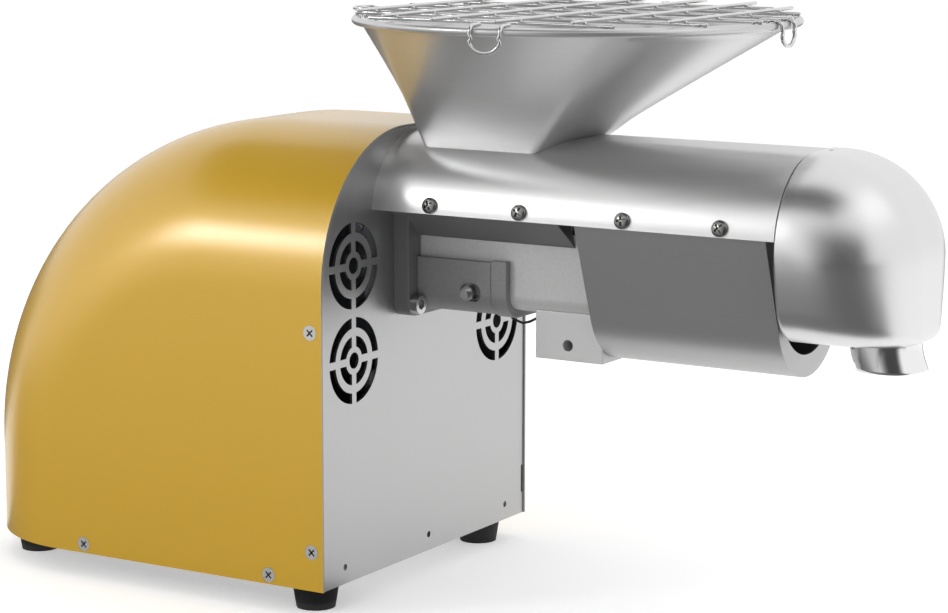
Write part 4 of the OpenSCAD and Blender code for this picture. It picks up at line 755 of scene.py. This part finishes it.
# name, place, aim, width and height, tone, strength, soft edges
down = None   # no aim: the card lies flat and looks down
allRound = ("left", "right", "lower", "upper")
cards = [
    ("front left card", (-1.0, -1.65, 0.66), (0.05, -0.03, 0.22), (1.8, 0.62), "#FFFFFF", 1.08, {}),
    ("front floor card", (-0.6, -2.0, 0.003), down, (4.4, 3.89), "#C8C8C8", 1.0, {}),
    ("front shade", (-0.6, -0.555, 0.004), down, (4.4, 1.0), "#707070", 1.0, {"lower": 1.0}),
    ("front right floor card", (1.85, -1.97, 0.005), down, (3.5, 3.89), "#5A5A5A", 1.0,
     {"left": 0.35, "upper": 0.1}),
    ("side flag", (0.84, -1.2, 0.75), (0.27, -0.03, 0.75), (2.7, 1.5), "#464646", 1.0,
     {"left": 1.3, "right": 0.75, "upper": 0.95}),
    ("bright floor card", (1.45, -0.15, 0.006), down, (1.8, 0.7), "#FFFFFF", 1.0,
     {"left": 0.5, "lower": 0.4}),
    ("bright front card", (1.16, 0.13, 1.27), (0.27, -0.03, 0.2), (1.5, 1.2), "#FFFFFF", 1.35,
     dict.fromkeys(allRound, 0.5)),
    ("rear floor card", (-1.3, 1.4, 0.003), down, (2.2, 2.6), "#626262", 1.0, {}),
    ("rear right floor card", (-0.05, 1.55, 0.004), down, (0.9, 1.7), "#626262", 1.0,
     {"right": 0.3, "lower": 0.4, "upper": 0.4}),
    ("rear bright card", (-0.06, 0.5, 0.005), down, (0.42, 0.5), "#FFFFFF", 1.3,
     dict.fromkeys(allRound, 0.12)),
    ("back board", (-1.2, 0.95, 0.14), (-0.1, 0, 0.14), (2.0, 0.28), "#626262", 1.0, {}),
    ("ceiling front", (0.17, -0.68, 1.3), down, (1.54, 1.15), "#525252", 1.0,
     {"right": 0.5, "lower": 0.5, "upper": 0.2}),
    ("ceiling left", (-0.9, -0.22, 1.3), down, (0.6, 1.35), "#5C5C5C", 1.0, {}),
]


def aimed(obj, at, aim):
    # puts a lamp or sheet into the scene, facing its aim or, without one, straight down
    look = Vector(aim) - Vector(at) if aim else Vector((0, 0, -1))
    obj.location = at
    obj.rotation_euler = look.to_track_quat("-Z", "Y").to_euler()
    bpy.context.scene.collection.objects.link(obj)
    return obj


def addLight(name, at, aim, size, power, inMetal, spread):
    # a soft box; most light only paint, rubber and floor, so that metal shows the cards
    data = bpy.data.lights.new(name, "AREA")
    data.shape = "RECTANGLE"
    data.size, data.size_y = size
    data.energy = power
    data.spread = math.radians(spread)
    lamp = aimed(bpy.data.objects.new(name, data), at, aim)
    lamp.visible_glossy = inMetal


def addSheet(name, at, aim, size, mat):
    # a flat rectangle of the set
    w, h = size[0] / 2, size[1] / 2
    mesh = bpy.data.meshes.new(name)
    mesh.from_pydata([(-w, -h, 0), (w, -h, 0), (w, h, 0), (-w, h, 0)], [], [(0, 1, 2, 3)])
    mesh.materials.append(mat)
    sheet = aimed(bpy.data.objects.new(name, mesh), at, aim)
    return sheet


def addCard(name, at, aim, size, tone, strength, soft):
    # a card that shows only in reflections; soft is how far in from each named edge it thins out
    mat = newMaterial(name, "#000000", 0.0, 1.0, Specular_IOR_Level=0.0, Emission_Color=hexColor(tone),
                      Emission_Strength=strength)
    tree = mat.node_tree
    where = addNode(tree, "ShaderNodeTexCoord").outputs["Object"]
    axes = addNode(tree, "ShaderNodeSeparateXYZ", {"Vector": where}).outputs
    w, h = size[0] / 2, size[1] / 2
    edges = {"left": ("X", -w), "right": ("X", w), "lower": ("Y", -h), "upper": ("Y", h)}
    cover = 1.0
    for side, width in soft.items():
        axis, edge = edges[side]
        fade = {"Value": axes[axis], "From Min": edge, "From Max": edge - math.copysign(width, edge)}
        part = addNode(tree, "ShaderNodeMapRange", fade, interpolation_type="SMOOTHSTEP").outputs["Result"]
        cover = addNode(tree, "ShaderNodeMath", {0: cover, 1: part}, operation="MULTIPLY").outputs[0]
    if soft:
        tree.links.new(cover, tree.nodes["Principled BSDF"].inputs["Alpha"])
    card = addSheet(name, at, aim, size, mat)
    card.visible_camera = card.visible_diffuse = card.visible_shadow = False


def lightWorld(onMatt):
    # white to the eye and in metal, weaker as a light on matt surfaces
    world = bpy.data.worlds.new("studio")
    bpy.context.scene.world = world
    world.use_nodes = True
    tree = world.node_tree
    ray = addNode(tree, "ShaderNodeLightPath").outputs
    sees = ray["Is Camera Ray"]
    for kind in ("Is Glossy Ray", "Is Transmission Ray"):
        either = {0: sees, 1: ray[kind]}
        sees = addNode(tree, "ShaderNodeMath", either, operation="ADD", use_clamp=True).outputs[0]
    strength = addNode(tree, "ShaderNodeMapRange", {"Value": sees, "To Min": onMatt, "To Max": 1.0})
    tree.links.new(strength.outputs["Result"], tree.nodes["Background"].inputs["Strength"])
    tree.nodes["Background"].inputs["Color"].default_value = (1, 1, 1, 1)


paper = newMaterial("white paper sweep", studio["paper"], 0.0, 0.9, Specular_IOR_Level=0.0,
                    Emission_Color=(1, 1, 1, 1), Emission_Strength=studio["paperGlow"])
addSheet("floor", (0, 0, 0), down, (studio["paperSize"], studio["paperSize"]), paper)
lightWorld(studio["worldOnMatt"])
for light in lights:
    addLight(*light)
for card in cards:
    addCard(*card)
bpy.context.scene.view_settings.view_transform = "Standard"
print("studio ready")
